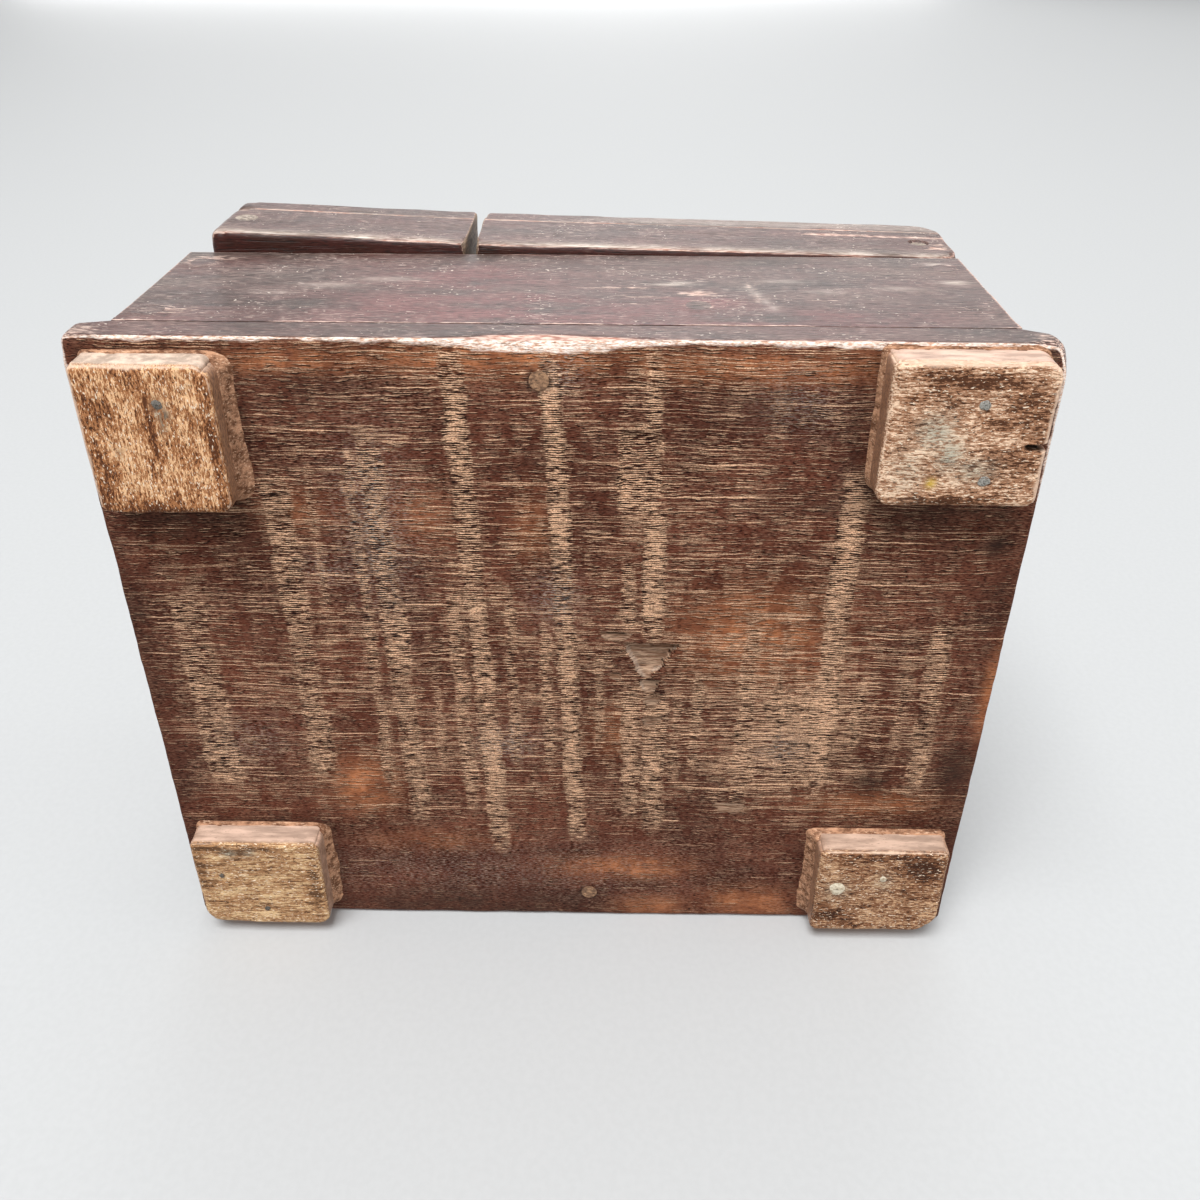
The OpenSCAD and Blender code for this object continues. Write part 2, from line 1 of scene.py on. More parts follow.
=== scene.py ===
import bpy
import numpy as np
from mathutils import Matrix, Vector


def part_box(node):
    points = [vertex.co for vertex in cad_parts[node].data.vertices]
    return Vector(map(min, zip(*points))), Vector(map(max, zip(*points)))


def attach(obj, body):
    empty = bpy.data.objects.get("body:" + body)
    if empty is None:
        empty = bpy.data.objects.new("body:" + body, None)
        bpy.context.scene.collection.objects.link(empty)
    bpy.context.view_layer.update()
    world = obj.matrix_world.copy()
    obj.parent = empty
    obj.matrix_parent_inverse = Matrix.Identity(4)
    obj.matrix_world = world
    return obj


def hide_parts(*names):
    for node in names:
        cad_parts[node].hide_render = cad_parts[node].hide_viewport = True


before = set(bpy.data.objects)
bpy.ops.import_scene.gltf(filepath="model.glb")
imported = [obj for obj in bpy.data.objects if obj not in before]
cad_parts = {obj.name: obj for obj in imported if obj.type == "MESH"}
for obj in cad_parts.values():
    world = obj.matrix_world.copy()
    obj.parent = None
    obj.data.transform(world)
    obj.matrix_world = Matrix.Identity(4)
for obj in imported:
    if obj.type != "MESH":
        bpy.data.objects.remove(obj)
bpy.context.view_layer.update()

# Bottom board: one wide plank, sawn across and stained red-brown, on which the walls are pegged.
# Its underside is rubbed bare along the saw marks, torn in a few places, and its edges are worn round.
# Shapes are worked out in millimetres. Endless is a noise cell along which the noise doesn't change.
mm = 0.001
endless = 1000.0


def lattice_noise(p, cell, seed):
    """Smooth noise from -1 to 1: hashed heights at the corners of a lattice, blended by smoothstep."""
    q = p / np.asarray(cell, float)
    base = np.floor(q).astype(np.int64)
    f = q - base
    f = f * f * (3 - 2 * f)
    total = np.zeros(len(p))
    for corner in range(8):
        step = np.array([corner & 1, corner >> 1 & 1, corner >> 2])
        i = base + step
        h = (i[:, 0] * 374761393 + i[:, 1] * 668265263 + i[:, 2] * 974634777 + seed * 362437) & 0xFFFFFFFF
        h = ((h ^ (h >> 13)) * 1274126177) & 0xFFFFFFFF
        weight = np.prod(np.where(step, f, 1 - f), axis=1)
        total += weight * (((h ^ (h >> 16)) & 0xFFFF) / 32767.5 - 1)
    return total


def rise(v, lo, hi):
    """Smoothstep of v: 0 at lo, 1 at hi; lo may be the larger."""
    t = np.clip((v - lo) / (hi - lo), 0, 1)
    return t * t * (3 - 2 * t)


def box_of(node):
    """The two corners of a CAD node's box in millimetres."""
    return [np.array(c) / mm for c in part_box(node)]


def marks_along(lo, hi, step, edge, close, fine):
    """Places of grid lines along one side: crowded over the worn edges by a cosine, fine in the close
    stretches and a step apart elsewhere."""
    inner = [v for pair in close for v in pair if lo + edge < v < hi - edge]
    stops = sorted({lo + edge, hi - edge, *inner})
    runs = []
    for a, b in zip(stops, stops[1:]):
        s = fine if any(c <= (a + b) / 2 <= d for c, d in close) else step
        runs.append(np.linspace(a, b, 2 + int((b - a) / s)))
    bend = edge * (1 - np.cos(np.linspace(0, np.pi / 2, 7)))
    return np.unique(np.concatenate([lo + bend, *runs, hi - bend]).round(4))


def worn_board(lo, hi, steps, edges, radius, relief, close=((), (), ()), fine=(0.6, 0.6, 0.6)):
    """A board: six grids on the faces of a box. Each point is drawn onto a ball of the local radius that
    rolls along inside the edges, then moved along that ball's normal by the relief. Returns the points, the
    quads, the points on the sharp box, and each point's distance from the nearest sharp edge."""
    marks = [marks_along(*side) for side in zip(lo, hi, steps, edges, close, fine)]
    shape = [len(m) for m in marks]
    lo = np.array([m[0] for m in marks])
    hi = np.array([m[-1] for m in marks])
    sheets = []
    for a in range(3):
        b, c = (a + 1) % 3, (a + 2) % 3
        jb, jc = np.meshgrid(np.arange(shape[b]), np.arange(shape[c]), indexing="ij")
        for end in (0, shape[a] - 1):
            at = [None, None, None]
            at[a], at[b], at[c] = np.full(jb.shape, end), jb, jc
            code = (at[0] * shape[1] + at[1]) * shape[2] + at[2]
            quad = np.stack([code[:-1, :-1], code[1:, :-1], code[1:, 1:], code[:-1, 1:]], -1).reshape(-1, 4)
            sheets.append(quad if end else quad[:, ::-1])
    codes, quads = np.unique(np.concatenate(sheets), return_inverse=True)
    quads = quads.reshape(-1, 4)
    flat = np.stack([marks[0][codes // (shape[1] * shape[2])], marks[1][codes // shape[2] % shape[1]],
                     marks[2][codes % shape[2]]], 1)
    r = radius(flat)[:, None]
    core = np.minimum(np.maximum(flat, lo + r), hi - r)
    away = flat - core
    out = away / np.linalg.norm(away, axis=1, keepdims=True)
    worn = core + out * (r + relief(flat)[:, None])
    gap = np.sort(np.minimum(flat - lo, hi - flat), axis=1)[:, 1]
    return worn, quads, flat, gap


def wood_piece(name, points, faces, body, nodes, finish, marks, other=None, on_other=None):
    """A mesh object from points in millimetres and faces, with its marks as point attributes, shaded smooth,
    riding on its body in the place of its CAD nodes. A second finish may cover some of its faces."""
    mesh = bpy.data.meshes.new(name)
    mesh.vertices.add(len(points))
    mesh.vertices.foreach_set("co", (points * mm).astype(np.float32).ravel())
    mesh.loops.add(faces.size)
    mesh.loops.foreach_set("vertex_index", faces.astype(np.int32).ravel())
    mesh.polygons.add(len(faces))
    mesh.polygons.foreach_set("loop_start", np.arange(0, faces.size, faces.shape[1], dtype=np.int32))
    for mark, value in marks.items():
        layer = mesh.attributes.new(mark, "FLOAT", "POINT")
        layer.data.foreach_set("value", np.broadcast_to(value, len(points)).astype(np.float32))
    mesh.update(calc_edges=True)
    mesh.shade_smooth()
    mesh.materials.append(finish)
    if other:
        mesh.materials.append(other)
        mesh.polygons.foreach_set("material_index", on_other.astype(np.int32))
    piece = bpy.data.objects.new(name, mesh)
    bpy.context.scene.collection.objects.link(piece)
    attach(piece, body)
    if nodes:
        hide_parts(*nodes)


def feed(node, inputs):
    """Gives a shader node its inputs: sockets to link, colours, which are opaque, or other values."""
    for key, value in inputs.items():
        if isinstance(value, bpy.types.NodeSocket):
            node.id_data.links.new(value, node.inputs[key])
        elif node.inputs[key].type == "RGBA":
            node.inputs[key].default_value = (*value, 1.0)
        else:
            node.inputs[key].default_value = value


def put(beside, kind, inputs, **settings):
    """A new shader node in the tree of another node or socket."""
    node = beside.id_data.nodes.new("ShaderNode" + kind)
    for key, value in settings.items():
        setattr(node, key, value)
    feed(node, inputs)
    return node


def begin_finish(name):
    """A material with its Principled shader and the object's own coordinates in millimetres."""
    mat = bpy.data.materials.new(name)
    mat.use_nodes = True
    shader = mat.node_tree.nodes["Principled BSDF"]
    place = put(shader, "TexCoord", {}).outputs["Object"]
    in_mm = put(place, "VectorMath", {0: place, "Scale": 1000.0}, operation="SCALE").outputs["Vector"]
    return mat, shader, in_mm


def field(place, size, detail=2.0, rough=0.5, turn=(0, 0, 0), shift=0.0):
    """Noise from 0 to 1 with cells of the given size in millimetres along X, Y and Z."""
    cells = {"Vector": place, "Location": (shift, shift * 1.7, -shift * 0.6), "Rotation": turn,
             "Scale": tuple(1 / s for s in size)}
    noise = {"Vector": put(place, "Mapping", cells).outputs["Vector"], "Scale": 1.0, "Detail": detail,
             "Roughness": rough}
    return put(place, "TexNoise", noise).outputs["Fac"]


def ramp(value, lo, hi, to_lo=0.0, to_hi=1.0):
    """Smooth step of a value between two levels."""
    if lo > hi:
        lo, hi, to_lo, to_hi = hi, lo, to_hi, to_lo
    levels = {"Value": value, "From Min": lo, "From Max": hi, "To Min": to_lo, "To Max": to_hi}
    return put(value, "MapRange", levels, interpolation_type="SMOOTHSTEP").outputs["Result"]


def times_plus(a, b, c, operation="MULTIPLY_ADD"):
    """The first value times the second, plus the third; or another sum of them."""
    return put(a, "Math", {0: a, 1: b, 2: c}, operation=operation).outputs[0]


def times(a, b):
    """The product of two values."""
    return times_plus(a, b, 0.0, "MULTIPLY")


def plus(a, b):
    """The sum of two values."""
    return times_plus(a, b, 0.0, "ADD")


def larger(a, b):
    """The larger of two values."""
    return times_plus(a, b, 0.0, "MAXIMUM")


def stir(value, noise, amount):
    """A value moved up and down by the given amount of noise."""
    return times_plus(plus(noise, -0.5), amount, value)


def tone(share, a, b):
    """Two colours mixed by a share."""
    return put(share, "Mix", {0: share, 6: a, 7: b}, data_type="RGBA").outputs[2]


def mark(beside, name):
    """A point attribute of the piece."""
    return put(beside, "Attribute", {}, attribute_name=name).outputs["Fac"]


def bump(height, depth):
    """The shading normal of a relief of the given depth in millimetres."""
    return put(height, "Bump", {"Height": height, "Distance": depth * mm, "Strength": 1.0}).outputs["Normal"]


def along(grain, length, width):
    """Size of a noise cell that is drawn out along the grain, which is an axis."""
    return tuple(length if axis == grain else width for axis in range(3))


def board_finish():
    """Red-brown stain over sawn wood: hair-thin pale fibres standing out of it, each with a painted shadow in
    the groove below it, bands of short pale hairs along the saw marks with painted shade between them and a
    painted shadow along the step at one side, blocks where the stain is whole, bare torn wood in the chips
    with painted shade and highlight at their cliffs, orange where the stain is thin, dark stains with painted
    shade, and dust."""
    mat, shader, at = begin_finish("worn_board_stain")

    def moved(place, by):
        """Coordinates shifted by a vector."""
        return put(place, "VectorMath", {0: place, 1: by}, operation="ADD").outputs["Vector"]

    def in_rows(place, size, shift, period, share):
        """Noise gathered into rows across the board, a period apart, by a sine of the place across it."""
        turn = times(put(place, "SeparateXYZ", {0: place}).outputs["Y"], 2 * np.pi / period)
        wave = put(turn, "Math", {0: turn}, operation="SINE").outputs[0]
        return times_plus(wave, share, field(place, size, 2.0, 0.55, shift=shift))

    sway = times(field(at, (45, 30, 30)), 3.0)
    ripple = times_plus(field(at, (3, 2, 3)), 0.6, sway)
    at = moved(at, put(at, "CombineXYZ", {"Y": ripple}).outputs[0])
    above = moved(at, (0, 0.17, 0))
    broad = field(at, (26, 15, 15), 4.0, 0.6)
    patch = field(at, (7, 3.5, 4), 4.0, 0.65, shift=31)
    fibre, over = (in_rows(place, (4.2, 0.25, 2), 0.0, 0.92, 0.045) for place in (at, above))
    hair, hair_over = (in_rows(place, (2.6, 0.24, 1), 17, 0.56, 0.085) for place in (at, above))
    strand = field(at, (24, 0.28, 3), 1.5, 0.55, shift=7)
    dash = field(at, (1.2, 0.24, 1), 2.0, 0.6, shift=13)
    fine = field(at, (0.4, 0.18, 0.3), shift=5)
    names = ("band", "chip", "step", "thin", "stain_and_shade", "dust", "edge", "dense")
    band, chip, step, thin, stain_and_shade, dust, edge, dense = (mark(at, name) for name in names)

    film = tone(ramp(broad, 0.36, 0.66), (0.066, 0.020, 0.012), (0.158, 0.052, 0.030))
    film = tone(ramp(patch, 0.45, 0.70, 0, 0.5), film, (0.165, 0.085, 0.058))
    film = tone(times(thin, ramp(patch, 0.15, 0.75)), film, (0.64, 0.235, 0.095))
    block = field(at, (4.5, 11, 9), shift=23)
    whole = ramp(stir(block, hair, 0.3), 0.50, 0.57)
    film = tone(times(whole, 0.35), film, (0.105, 0.028, 0.016))
    flecks = times(ramp(dash, 0.50, 0.70), times_plus(whole, -0.55, 0.85))
    film = tone(flecks, film, (0.330, 0.175, 0.112))
    pores = times(ramp(dash, 0.465, 0.36, 0, 0.97), times_plus(thin, -0.6, 1.0))
    film = tone(pores, film, (0.008, 0.003, 0.002))

    lift = times(plus(dense, -0.5), 0.125)
    lift = times_plus(whole, -0.04, lift)
    lines = ramp(plus(fibre, lift), 0.622, 0.662)
    strands = ramp(plus(strand, lift), 0.64, 0.675)
    bared = times(larger(stir(band, patch, 1.1), 0.0), ramp(band, 0.02, 0.2, 0, 0.145))
    hairs = times(ramp(plus(hair, bared), 0.59, 0.635), ramp(band, 0.02, 0.25))
    pale = larger(larger(times(lines, 0.85), strands), hairs)
    tan = tone(ramp(fine, 0.28, 0.70), (0.34, 0.158, 0.084), (0.95, 0.62, 0.405))
    colour = tone(pale, film, tan)
    # Painted shadow: dark in the groove just below each fibre and each hair, as if lit from above, which also
    # stands for dirt in the grooves; and painted shade in the gaps between the hairs of the bands.
    groove_shadow = ramp(plus(over, lift), 0.575, 0.635)
    pits = times(ramp(plus(hair_over, bared), 0.58, 0.70), ramp(band, 0.1, 0.4))
    gap_shade = times(ramp(hair, 0.47, 0.38), ramp(band, 0.1, 0.4))
    dark = times(larger(groove_shadow, pits), times_plus(pale, -1.0, 1.0))
    dark = times(larger(dark, gap_shade), 0.97)
    # Painted shadow along the sharp side of each saw step.
    dark = larger(dark, times(ramp(step, 0.2, 1.0, 0, 0.75), ramp(hair, 0.60, 0.40)))
    colour = tone(dark, colour, (0.010, 0.004, 0.003))

    torn = ramp(stir(chip, hair, 0.9), 0.35, 0.6)
    split = field(at, (7, 0.8, 2), 3.0, 0.65, shift=29)
    bare = tone(ramp(split, 0.36, 0.66), (0.23, 0.120, 0.072), (0.52, 0.345, 0.235))
    bare = tone(ramp(hair, 0.42, 0.34, 0, 0.75), bare, (0.06, 0.030, 0.019))
    # Painted shade on the torn places' upper cliffs and those towards -X, and a painted highlight on their
    # lower rims and those towards +X.
    bare = tone(ramp(step, 0.25, 0.8), bare, (0.035, 0.017, 0.011))
    bare = tone(ramp(step, -0.5, -1.0, 0, 0.6), bare, (0.48, 0.36, 0.28))
    colour = tone(torn, colour, bare)
    colour = tone(times(dust, ramp(dash, 0.50, 0.66, 0, 0.75)), colour, (0.42, 0.41, 0.38))
    # Dark stains, with painted shade round the feet and along the lower edge.
    colour = tone(times(stain_and_shade, ramp(patch, 0.2, 0.6, 0.4, 1.0)), colour, (0.030, 0.016, 0.012))
    worn = tone(ramp(dash, 0.35, 0.6), (0.54, 0.31, 0.21), (0.86, 0.75, 0.67))
    colour = tone(ramp(stir(edge, patch, 3.4), 1.2, 0.3), colour, worn)

    relief = times_plus(pale, 0.7, times(dark, -0.8))
    relief = times_plus(hair, 0.6, relief)
    relief = times_plus(times(split, torn), 1.5, relief)
    feed(shader, {"Base Color": colour, "Roughness": times_plus(pale, 0.2, 0.55),
                  "Normal": bump(relief, 0.30), "Specular IOR Level": 0.06})
    return mat


def lacquer_finish(name, grain, bare_edges=True, gloss=0.40):
    """Dark lacquer: brown-black with red depths, a grey bloom, thin light and dark dashes along the grain,
    long scratches, pale specks, chalky pale marks, which along the lid's lower edge are a painted highlight,
    and bare pinkish wood at the worn edges. Grain is the axis it runs along."""
    mat, shader, at = begin_finish(name)
    depth = field(at, along(grain, 40, 14), 4.0, 0.6)
    bloom = field(at, along(grain, 18, 7), 3.0, 0.55, shift=19)
    vein = field(at, along(grain, 14, 0.9), 4.0, 0.6, shift=3)
    dash = field(at, along(grain, 2.8, 0.32), 2.0, 0.6, shift=41)
    long_dash = field(at, along(grain, 18, 0.36), 1.5, 0.55, shift=47)
    cross = field(at, along(grain, 9, 0.2), 1.0, 0.5, turn=(0.45, 0.3, 0.5), shift=23)
    speck = field(at, along(grain, 0.9, 0.55), 0.0, 0.5, shift=11)
    where = field(at, (15, 15, 11), 3.0, 0.6, shift=5)

    film = tone(ramp(depth, 0.36, 0.66), (0.058, 0.033, 0.027), (0.108, 0.046, 0.039))
    film = tone(ramp(vein, 0.50, 0.72, 0, 0.45), film, (0.140, 0.104, 0.083))
    often = ramp(where, 0.36, 0.68)
    clear, pale_and_highlight = 1.0, 0.0
    if bare_edges:
        red, pale_and_highlight = mark(at, "red"), mark(at, "pale")
        film = tone(times(red, ramp(bloom, 0.28, 0.70)), film, (0.195, 0.030, 0.036))
        clear = ramp(red, 1.1, 1.5, 1.0, 0.06)
        film = tone(ramp(red, 1.1, 1.5, 0, 0.9), film, (0.028, 0.009, 0.005))
    haze = times(ramp(bloom, 0.38, 0.78), clear)
    film = tone(times(haze, 0.36), film, (0.285, 0.238, 0.212))
    share = times(times_plus(often, 0.55, 0.28), clear)
    film = tone(times(ramp(dash, 0.56, 0.66), share), film, (0.50, 0.385, 0.330))
    film = tone(ramp(dash, 0.46, 0.36, 0, 0.75), film, (0.012, 0.008, 0.007))
    film = tone(ramp(long_dash, 0.40, 0.33, 0, 0.7), film, (0.012, 0.008, 0.007))
    slants = ramp(cross, 0.765, 0.80)
    dots = ramp(times_plus(often, 0.10, speck), 0.85, 0.89)
    scars = times(larger(slants, dots), clear)
    colour = tone(times(scars, 0.75), film, (0.74, 0.64, 0.55))
    bare = scars
    if bare_edges:
        # The pale mark is chalky drops, a pale rim and seam, and on the lid's lower outer edge a painted
        # highlight.
        patchy = times(pale_and_highlight, ramp(vein, 0.30, 0.62, 0.62, 1.0))
        chalk_and_highlight = tone(ramp(dash, 0.36, 0.60), (0.56, 0.44, 0.36), (0.84, 0.73, 0.64))
        colour = tone(patchy, colour, chalk_and_highlight)
        worn = ramp(stir(mark(at, "edge"), vein, 2.6), 0.8, 0.1)
        worn = times(worn, ramp(depth, 0.25, 0.6, 0.4, 1.0))
        frayed = stir(mark(at, "rubbed"), dash, 1.8)
        bare = larger(worn, ramp(frayed, 0.35, 0.8))
        wood = tone(ramp(dash, 0.36, 0.62), (0.44, 0.20, 0.145), (0.82, 0.62, 0.52))
        colour = tone(times(bare, 0.9), colour, wood)
    dull = times_plus(haze, 0.12, 0.37)
    relief = times_plus(vein, 0.4, times(dash, 0.6))
    relief = times_plus(scars, 0.3, relief)
    relief = times_plus(ramp(long_dash, 0.42, 0.33), -0.4, relief)
    feed(shader, {"Base Color": colour, "Roughness": times_plus(bare, 0.25, dull),
                  "Normal": bump(relief, 0.13), "Specular IOR Level": gloss})
    return mat


lacquer = lacquer_finish("dark_lacquer_along", 0)

# Saw marks on the underside: place at the right edge and at the left edge of the board, half width, the two
# ends of the stretch that is rubbed, and how bare it is.
saw_marks = np.array([
    (96, 93, 4.2, 22, -46, 0.42), (69, 66, 2.8, 55, -42, 0.52), (50.5, 49, 0.9, 60, -46, 0.5),
    (46, 40.5, 2.4, 64, -56, 0.62), (29, 27, 1.2, 24, -48, 0.62), (25.5, 19, 1.9, 86, -64, 0.88),
    (15, 14, 0.9, 22, -34, 0.55), (6.5, 5, 1.0, 14, -34, 0.55), (3.4, -3, 1.7, 82, -60, 0.88),
    (-8, -8, 0.7, 10, -32, 0.45), (-17, -17.5, 4.6, 65, 44, 0.85), (-20.8, -21.4, 2.1, 46, 8, 0.85),
    (-14.6, -15.4, 1.1, 32, 8, 0.55), (-16.4, -16.4, 2.0, -8, -52, 0.75), (-22.6, -22.8, 2.2, -6, -56, 0.8),
    (-19.6, -19.6, 1.3, 86, 60, 0.5), (-28, -28, 0.9, -8, -40, 0.45), (-33.5, -33.5, 1.1, 0, -34, 0.5),
    (-46, -46.5, 1.7, 14, -48, 0.58), (-67, -67, 2.4, 56, -44, 0.85), (-75.5, -76, 0.9, 0, -32, 0.45),
    (-87, -87, 1.0, 2, -34, 0.45), (-93.5, -94.5, 2.2, 18, -42, 0.66), (-62, -62, 0.8, -4, -32, 0.42),
    (-55, -55, 0.9, 16, -34, 0.4), (60, 60, 0.8, 58, 10, 0.3), (35, 34, 0.8, -2, -36, 0.4),
])


def saw_bands(p):
    """The largest of all the saw marks at each point: a strip across the board with one sharp side, fading to
    the other side and at its ends; and a painted shadow line along the sharp sides."""
    top, low, half, start, end, bare = saw_marks.T
    across = (p[:, 1:2] - lo[1]) / (hi[1] - lo[1])
    sway = 0.5 * lattice_noise(p, (5, 7, endless), 4) + 0.5 * lattice_noise(p, (3, 1.8, endless), 7)
    off = p[:, 0:1] + sway[:, None] - (low + (top - low) * across)
    fade = rise(p[:, 1:2], end - 6, end + 10) * rise(p[:, 1:2], start + 6, start - 10)
    strip = rise(off, half + 1.2, half - 0.9) * rise(off, -half - 2.2, -half + 0.8)
    # Painted shadow: a dark line along the sharp side of each wider saw mark.
    step = rise(np.abs(off - half - 0.5), 0.8, 0.1) * (half > 1.5)
    step = step * rise(lattice_noise(p, (9, 3.5, endless), 6), -0.2, 0.6)[:, None]
    uneven = 0.86 + 0.42 * lattice_noise(p, (14, 8, endless), 8)[:, None]
    return (strip * fade * bare * uneven).max(axis=1), (step * fade * bare).max(axis=1)


# Torn places: two ends along the board, two across, the softness of those four sides, the depth, how bare it
# is, and how far the two ends lean inwards for each millimetre away from the upper side.
tears = [(-28.4, -13.6, -5.2, 6.8, 0.6, 1.6, 5.0, 0.7, 1.7, 1, 0.62, 0.42),
         (-24.6, -17.8, -9.4, -4.2, 0.8, 1.6, 3.0, 0.8, 1.0, 0.9, 0.4, 0.3),
         (-17.5, -7.0, 7.2, 10.4, 3.0, 3.0, 1.4, 0.8, 0.5, 0.8, 0.2, 0.6),
         (-15, -10, -4.8, -2.4, 1.2, 1.4, 1.0, 0.8, 0.4, 0.8, 0.3, 0.3),
         (-25.0, -19, -15.0, -10.4, 1.0, 2.4, 3.0, 0.9, 0.7, 0.9, 0.5, 0.3),
         (-26, -18, -20.6, -16.4, 1.5, 3.0, 1.8, 1.0, 0.5, 0.8, 0.6, 0.3),
         (-50, -38, -50.4, -46.4, 1.6, 3.0, 1.8, 1.2, 0.4, 0.9, 0.5, 0.8),
         (-22.5, -12.8, 45, 64.6, 0.8, 0.8, 8.0, 0.8, 0.6, 0, 0, 0)]


def torn_depth(p, bare=False):
    """Depth of the torn places: for each, the product of a smooth step at each of its four sides. Or the
    share of bare wood in them."""
    wob = 0.7 * lattice_noise(p, (2.2, 1.4, endless), 9)
    x, y = p[:, 0] + wob, p[:, 1] + 0.7 * wob
    depth = np.zeros(len(p))
    for x0, x1, y0, y1, s0, s1, s2, s3, d, share, lean0, lean1 in tears:
        down = np.maximum(y1 - y, 0)
        near, far = x - lean0 * down, x + lean1 * down
        hole = rise(near, x0, x0 + s0) * rise(far, x1, x1 - s1)
        hole *= rise(y, y0, y0 + s2) * rise(y, y1, y1 - s3)
        depth = np.maximum(depth, np.clip(2.2 * share * hole, 0, share) if bare else d * hole)
    return depth


def spots(p, places):
    """The largest of some round soft spots, each given by its middle, its two half sizes and its strength."""
    total = np.zeros(len(p))
    for x, y, rx, ry, s in places:
        total = np.maximum(total, s * np.exp(-((p[:, 0] - x) / rx) ** 2 - ((p[:, 1] - y) / ry) ** 2))
    return total


lo, hi = box_of("bottom_board")


def board_radius(p):
    """Rounding of the board: small above, more at the lower edges, most where the right one is rubbed."""
    x, y, z = p.T
    low = rise(z, 13, 10)
    right = rise(y, 78, 84)
    r = 0.06 + 0.7 * rise(np.abs(x), 100, 104) * (1 - low) + 1.1 * low
    r += 0.3 * low * lattice_noise(p, (9, 9, 30), 1)
    r += right * low * (3.0 * np.exp(-((x - 6) / 20) ** 2) + 0.7 * np.exp(-((x + 60) / 16) ** 2))
    r += right * low * 0.5 * lattice_noise(p, (6, 30, 30), 2)
    r += right * (3.6 * rise(x, -100, -109) + 1.6 * rise(x, 102, 109))
    return np.clip(r, 0.06, 4.8)


# A point this close to a face of the sharp box lies on that face.
on_face = 0.5


def board_relief(p):
    """Hollows of the board: slight waves everywhere, and the torn places in the underside."""
    under = (p[:, 2] < lo[2] + on_face).astype(float)
    wave = 0.12 * (1 + lattice_noise(p, (40, 14, 10), 3))
    dent = 0.10 * (1 + lattice_noise(p, (5, 2.5, 4), 5))
    return -(wave + dent) * 0.7 - under * torn_depth(p)


points, quads, flat, gap = worn_board(lo, hi, (0.8, 1.6, 2), (4.5, 4.5, 2.4), board_radius, board_relief,
                                      ([(-29, -7), (2, 9)], [(-8, 11), (62, 66)], ()))
under = (flat[:, 2] < lo[2] + on_face).astype(float)
x, y, z = flat.T
thin_stain = spots(flat, [(-47, 9, 17, 13, 1.0), (-62, 0, 8, 12, 0.4), (57, -41, 9, 9, 0.9),
                          (63, 44, 9, 5, 0.5), (-16, -72, 17, 4, 1.0), (-24, -88, 10, 4, 0.8),
                          (-52, -86, 12, 6, 0.9), (34, 42, 7, 7, 0.5), (-84, -46, 16, 4, 0.8),
                          (40, -62, 18, 4, 0.4), (12, 82, 30, 4, 1.0), (62, 81, 30, 3, 0.8),
                          (-45, 80, 32, 3.5, 0.9), (-109, -8, 2, 14, 0.9), (-72, 84, 12, 3, 0.5),
                          (8, 40, 5, 9, 0.5), (-12, -22, 6, 8, 0.5)])
# Dark stains, and painted shade: the broad spot at (30, -88) darkens the lower edge by the table.
dark_stain_and_shade = spots(flat, [(-103, 36, 3.2, 3.0, 1.0), (-82, -38, 5, 5, 0.75), (-105, -33, 6, 12, 0.8),
                          (108, 8, 4, 30, 0.4), (30, -88, 45, 8, 0.7), (107, -44, 5, 20, 0.3),
                          (12, 84, 3, 3, 0.4), (-45, 70, 12, 6, 0.3), (-106, 20, 5, 16, 0.5),
                          (60, 74, 12, 6, 0.4), (-66, 66, 3, 16, 0.5), (74, 66, 3, 18, 0.5),
                          (-80, 46, 22, 3, 0.6), (90, 43, 20, 3, 0.6)])
feet = ("front_right_foot", "rear_right_foot", "front_left_foot", "rear_left_foot")
foot_gap = np.full(len(flat), np.inf)
for node in feet:
    f_lo, f_hi = (c[:2] for c in box_of(node))
    beyond = np.maximum(np.maximum(f_lo - flat[:, :2], flat[:, :2] - f_hi), 0)
    foot_gap = np.minimum(foot_gap, np.linalg.norm(beyond, axis=1))
# Painted shade: the board darkens close round each foot.
dark_stain_and_shade = np.maximum(dark_stain_and_shade, 0.6 * np.exp(-foot_gap / 3))
bottom_pegs_at, bottom_peg_r = [(5.5, 76.781), (-5.5, -82.219)], 2.5
peg_far = np.min([np.hypot(x - u, y - v) for u, v in bottom_pegs_at], axis=0)
dark_stain_and_shade = np.maximum(dark_stain_and_shade, 0.9 * np.exp(-((peg_far - bottom_peg_r) / 0.45) ** 2))
dusty = spots(flat, [(45, 40, 9, 22, 0.7), (3, 20, 6, 7, 0.8), (-57, -27, 6, 5, 0.7), (-52, 72, 9, 7, 0.6),
                     (16, -26, 8, 6, 0.7), (20, -74, 60, 12, 0.4), (58, 28, 6, 5, 0.5), (0, 80, 5, 5, 0.7),
                     (84, -26, 10, 8, 0.4)])
dense_fibre = 0.62 * rise(y, -66, -44) * rise(np.abs(x), 114, 98) + 0.1
dense_fibre -= spots(flat, [(85, 20, 26, 60, 0.06), (-92, 10, 16, 50, 0.1), (-95, 35, 14, 20, 0.2),
                            (57, -41, 10, 9, 0.25)])
dense_fibre += spots(flat, [(0, 0, 50, 45, 0.12), (-60, -18, 30, 26, 0.56), (-47, 9, 17, 13, 0.25)])
edge_worn = gap + 4 * rise(y, 60, 20) + 6 * rise(z, 14, 17)
edge_worn -= rise(y, 70, 80) * (2.6 * np.exp(-((x - 6) / 19) ** 2) + 0.5 * np.exp(-((x + 70) / 30) ** 2))
band, step = saw_bands(flat)
band = np.maximum(band, spots(flat, [
    (-56, -13.5, 4.5, 4.5, 0.9), (-61, -30, 9, 9, 0.5), (-48, -34, 8, 6, 0.42), (-68, -20, 5, 10, 0.4)]))
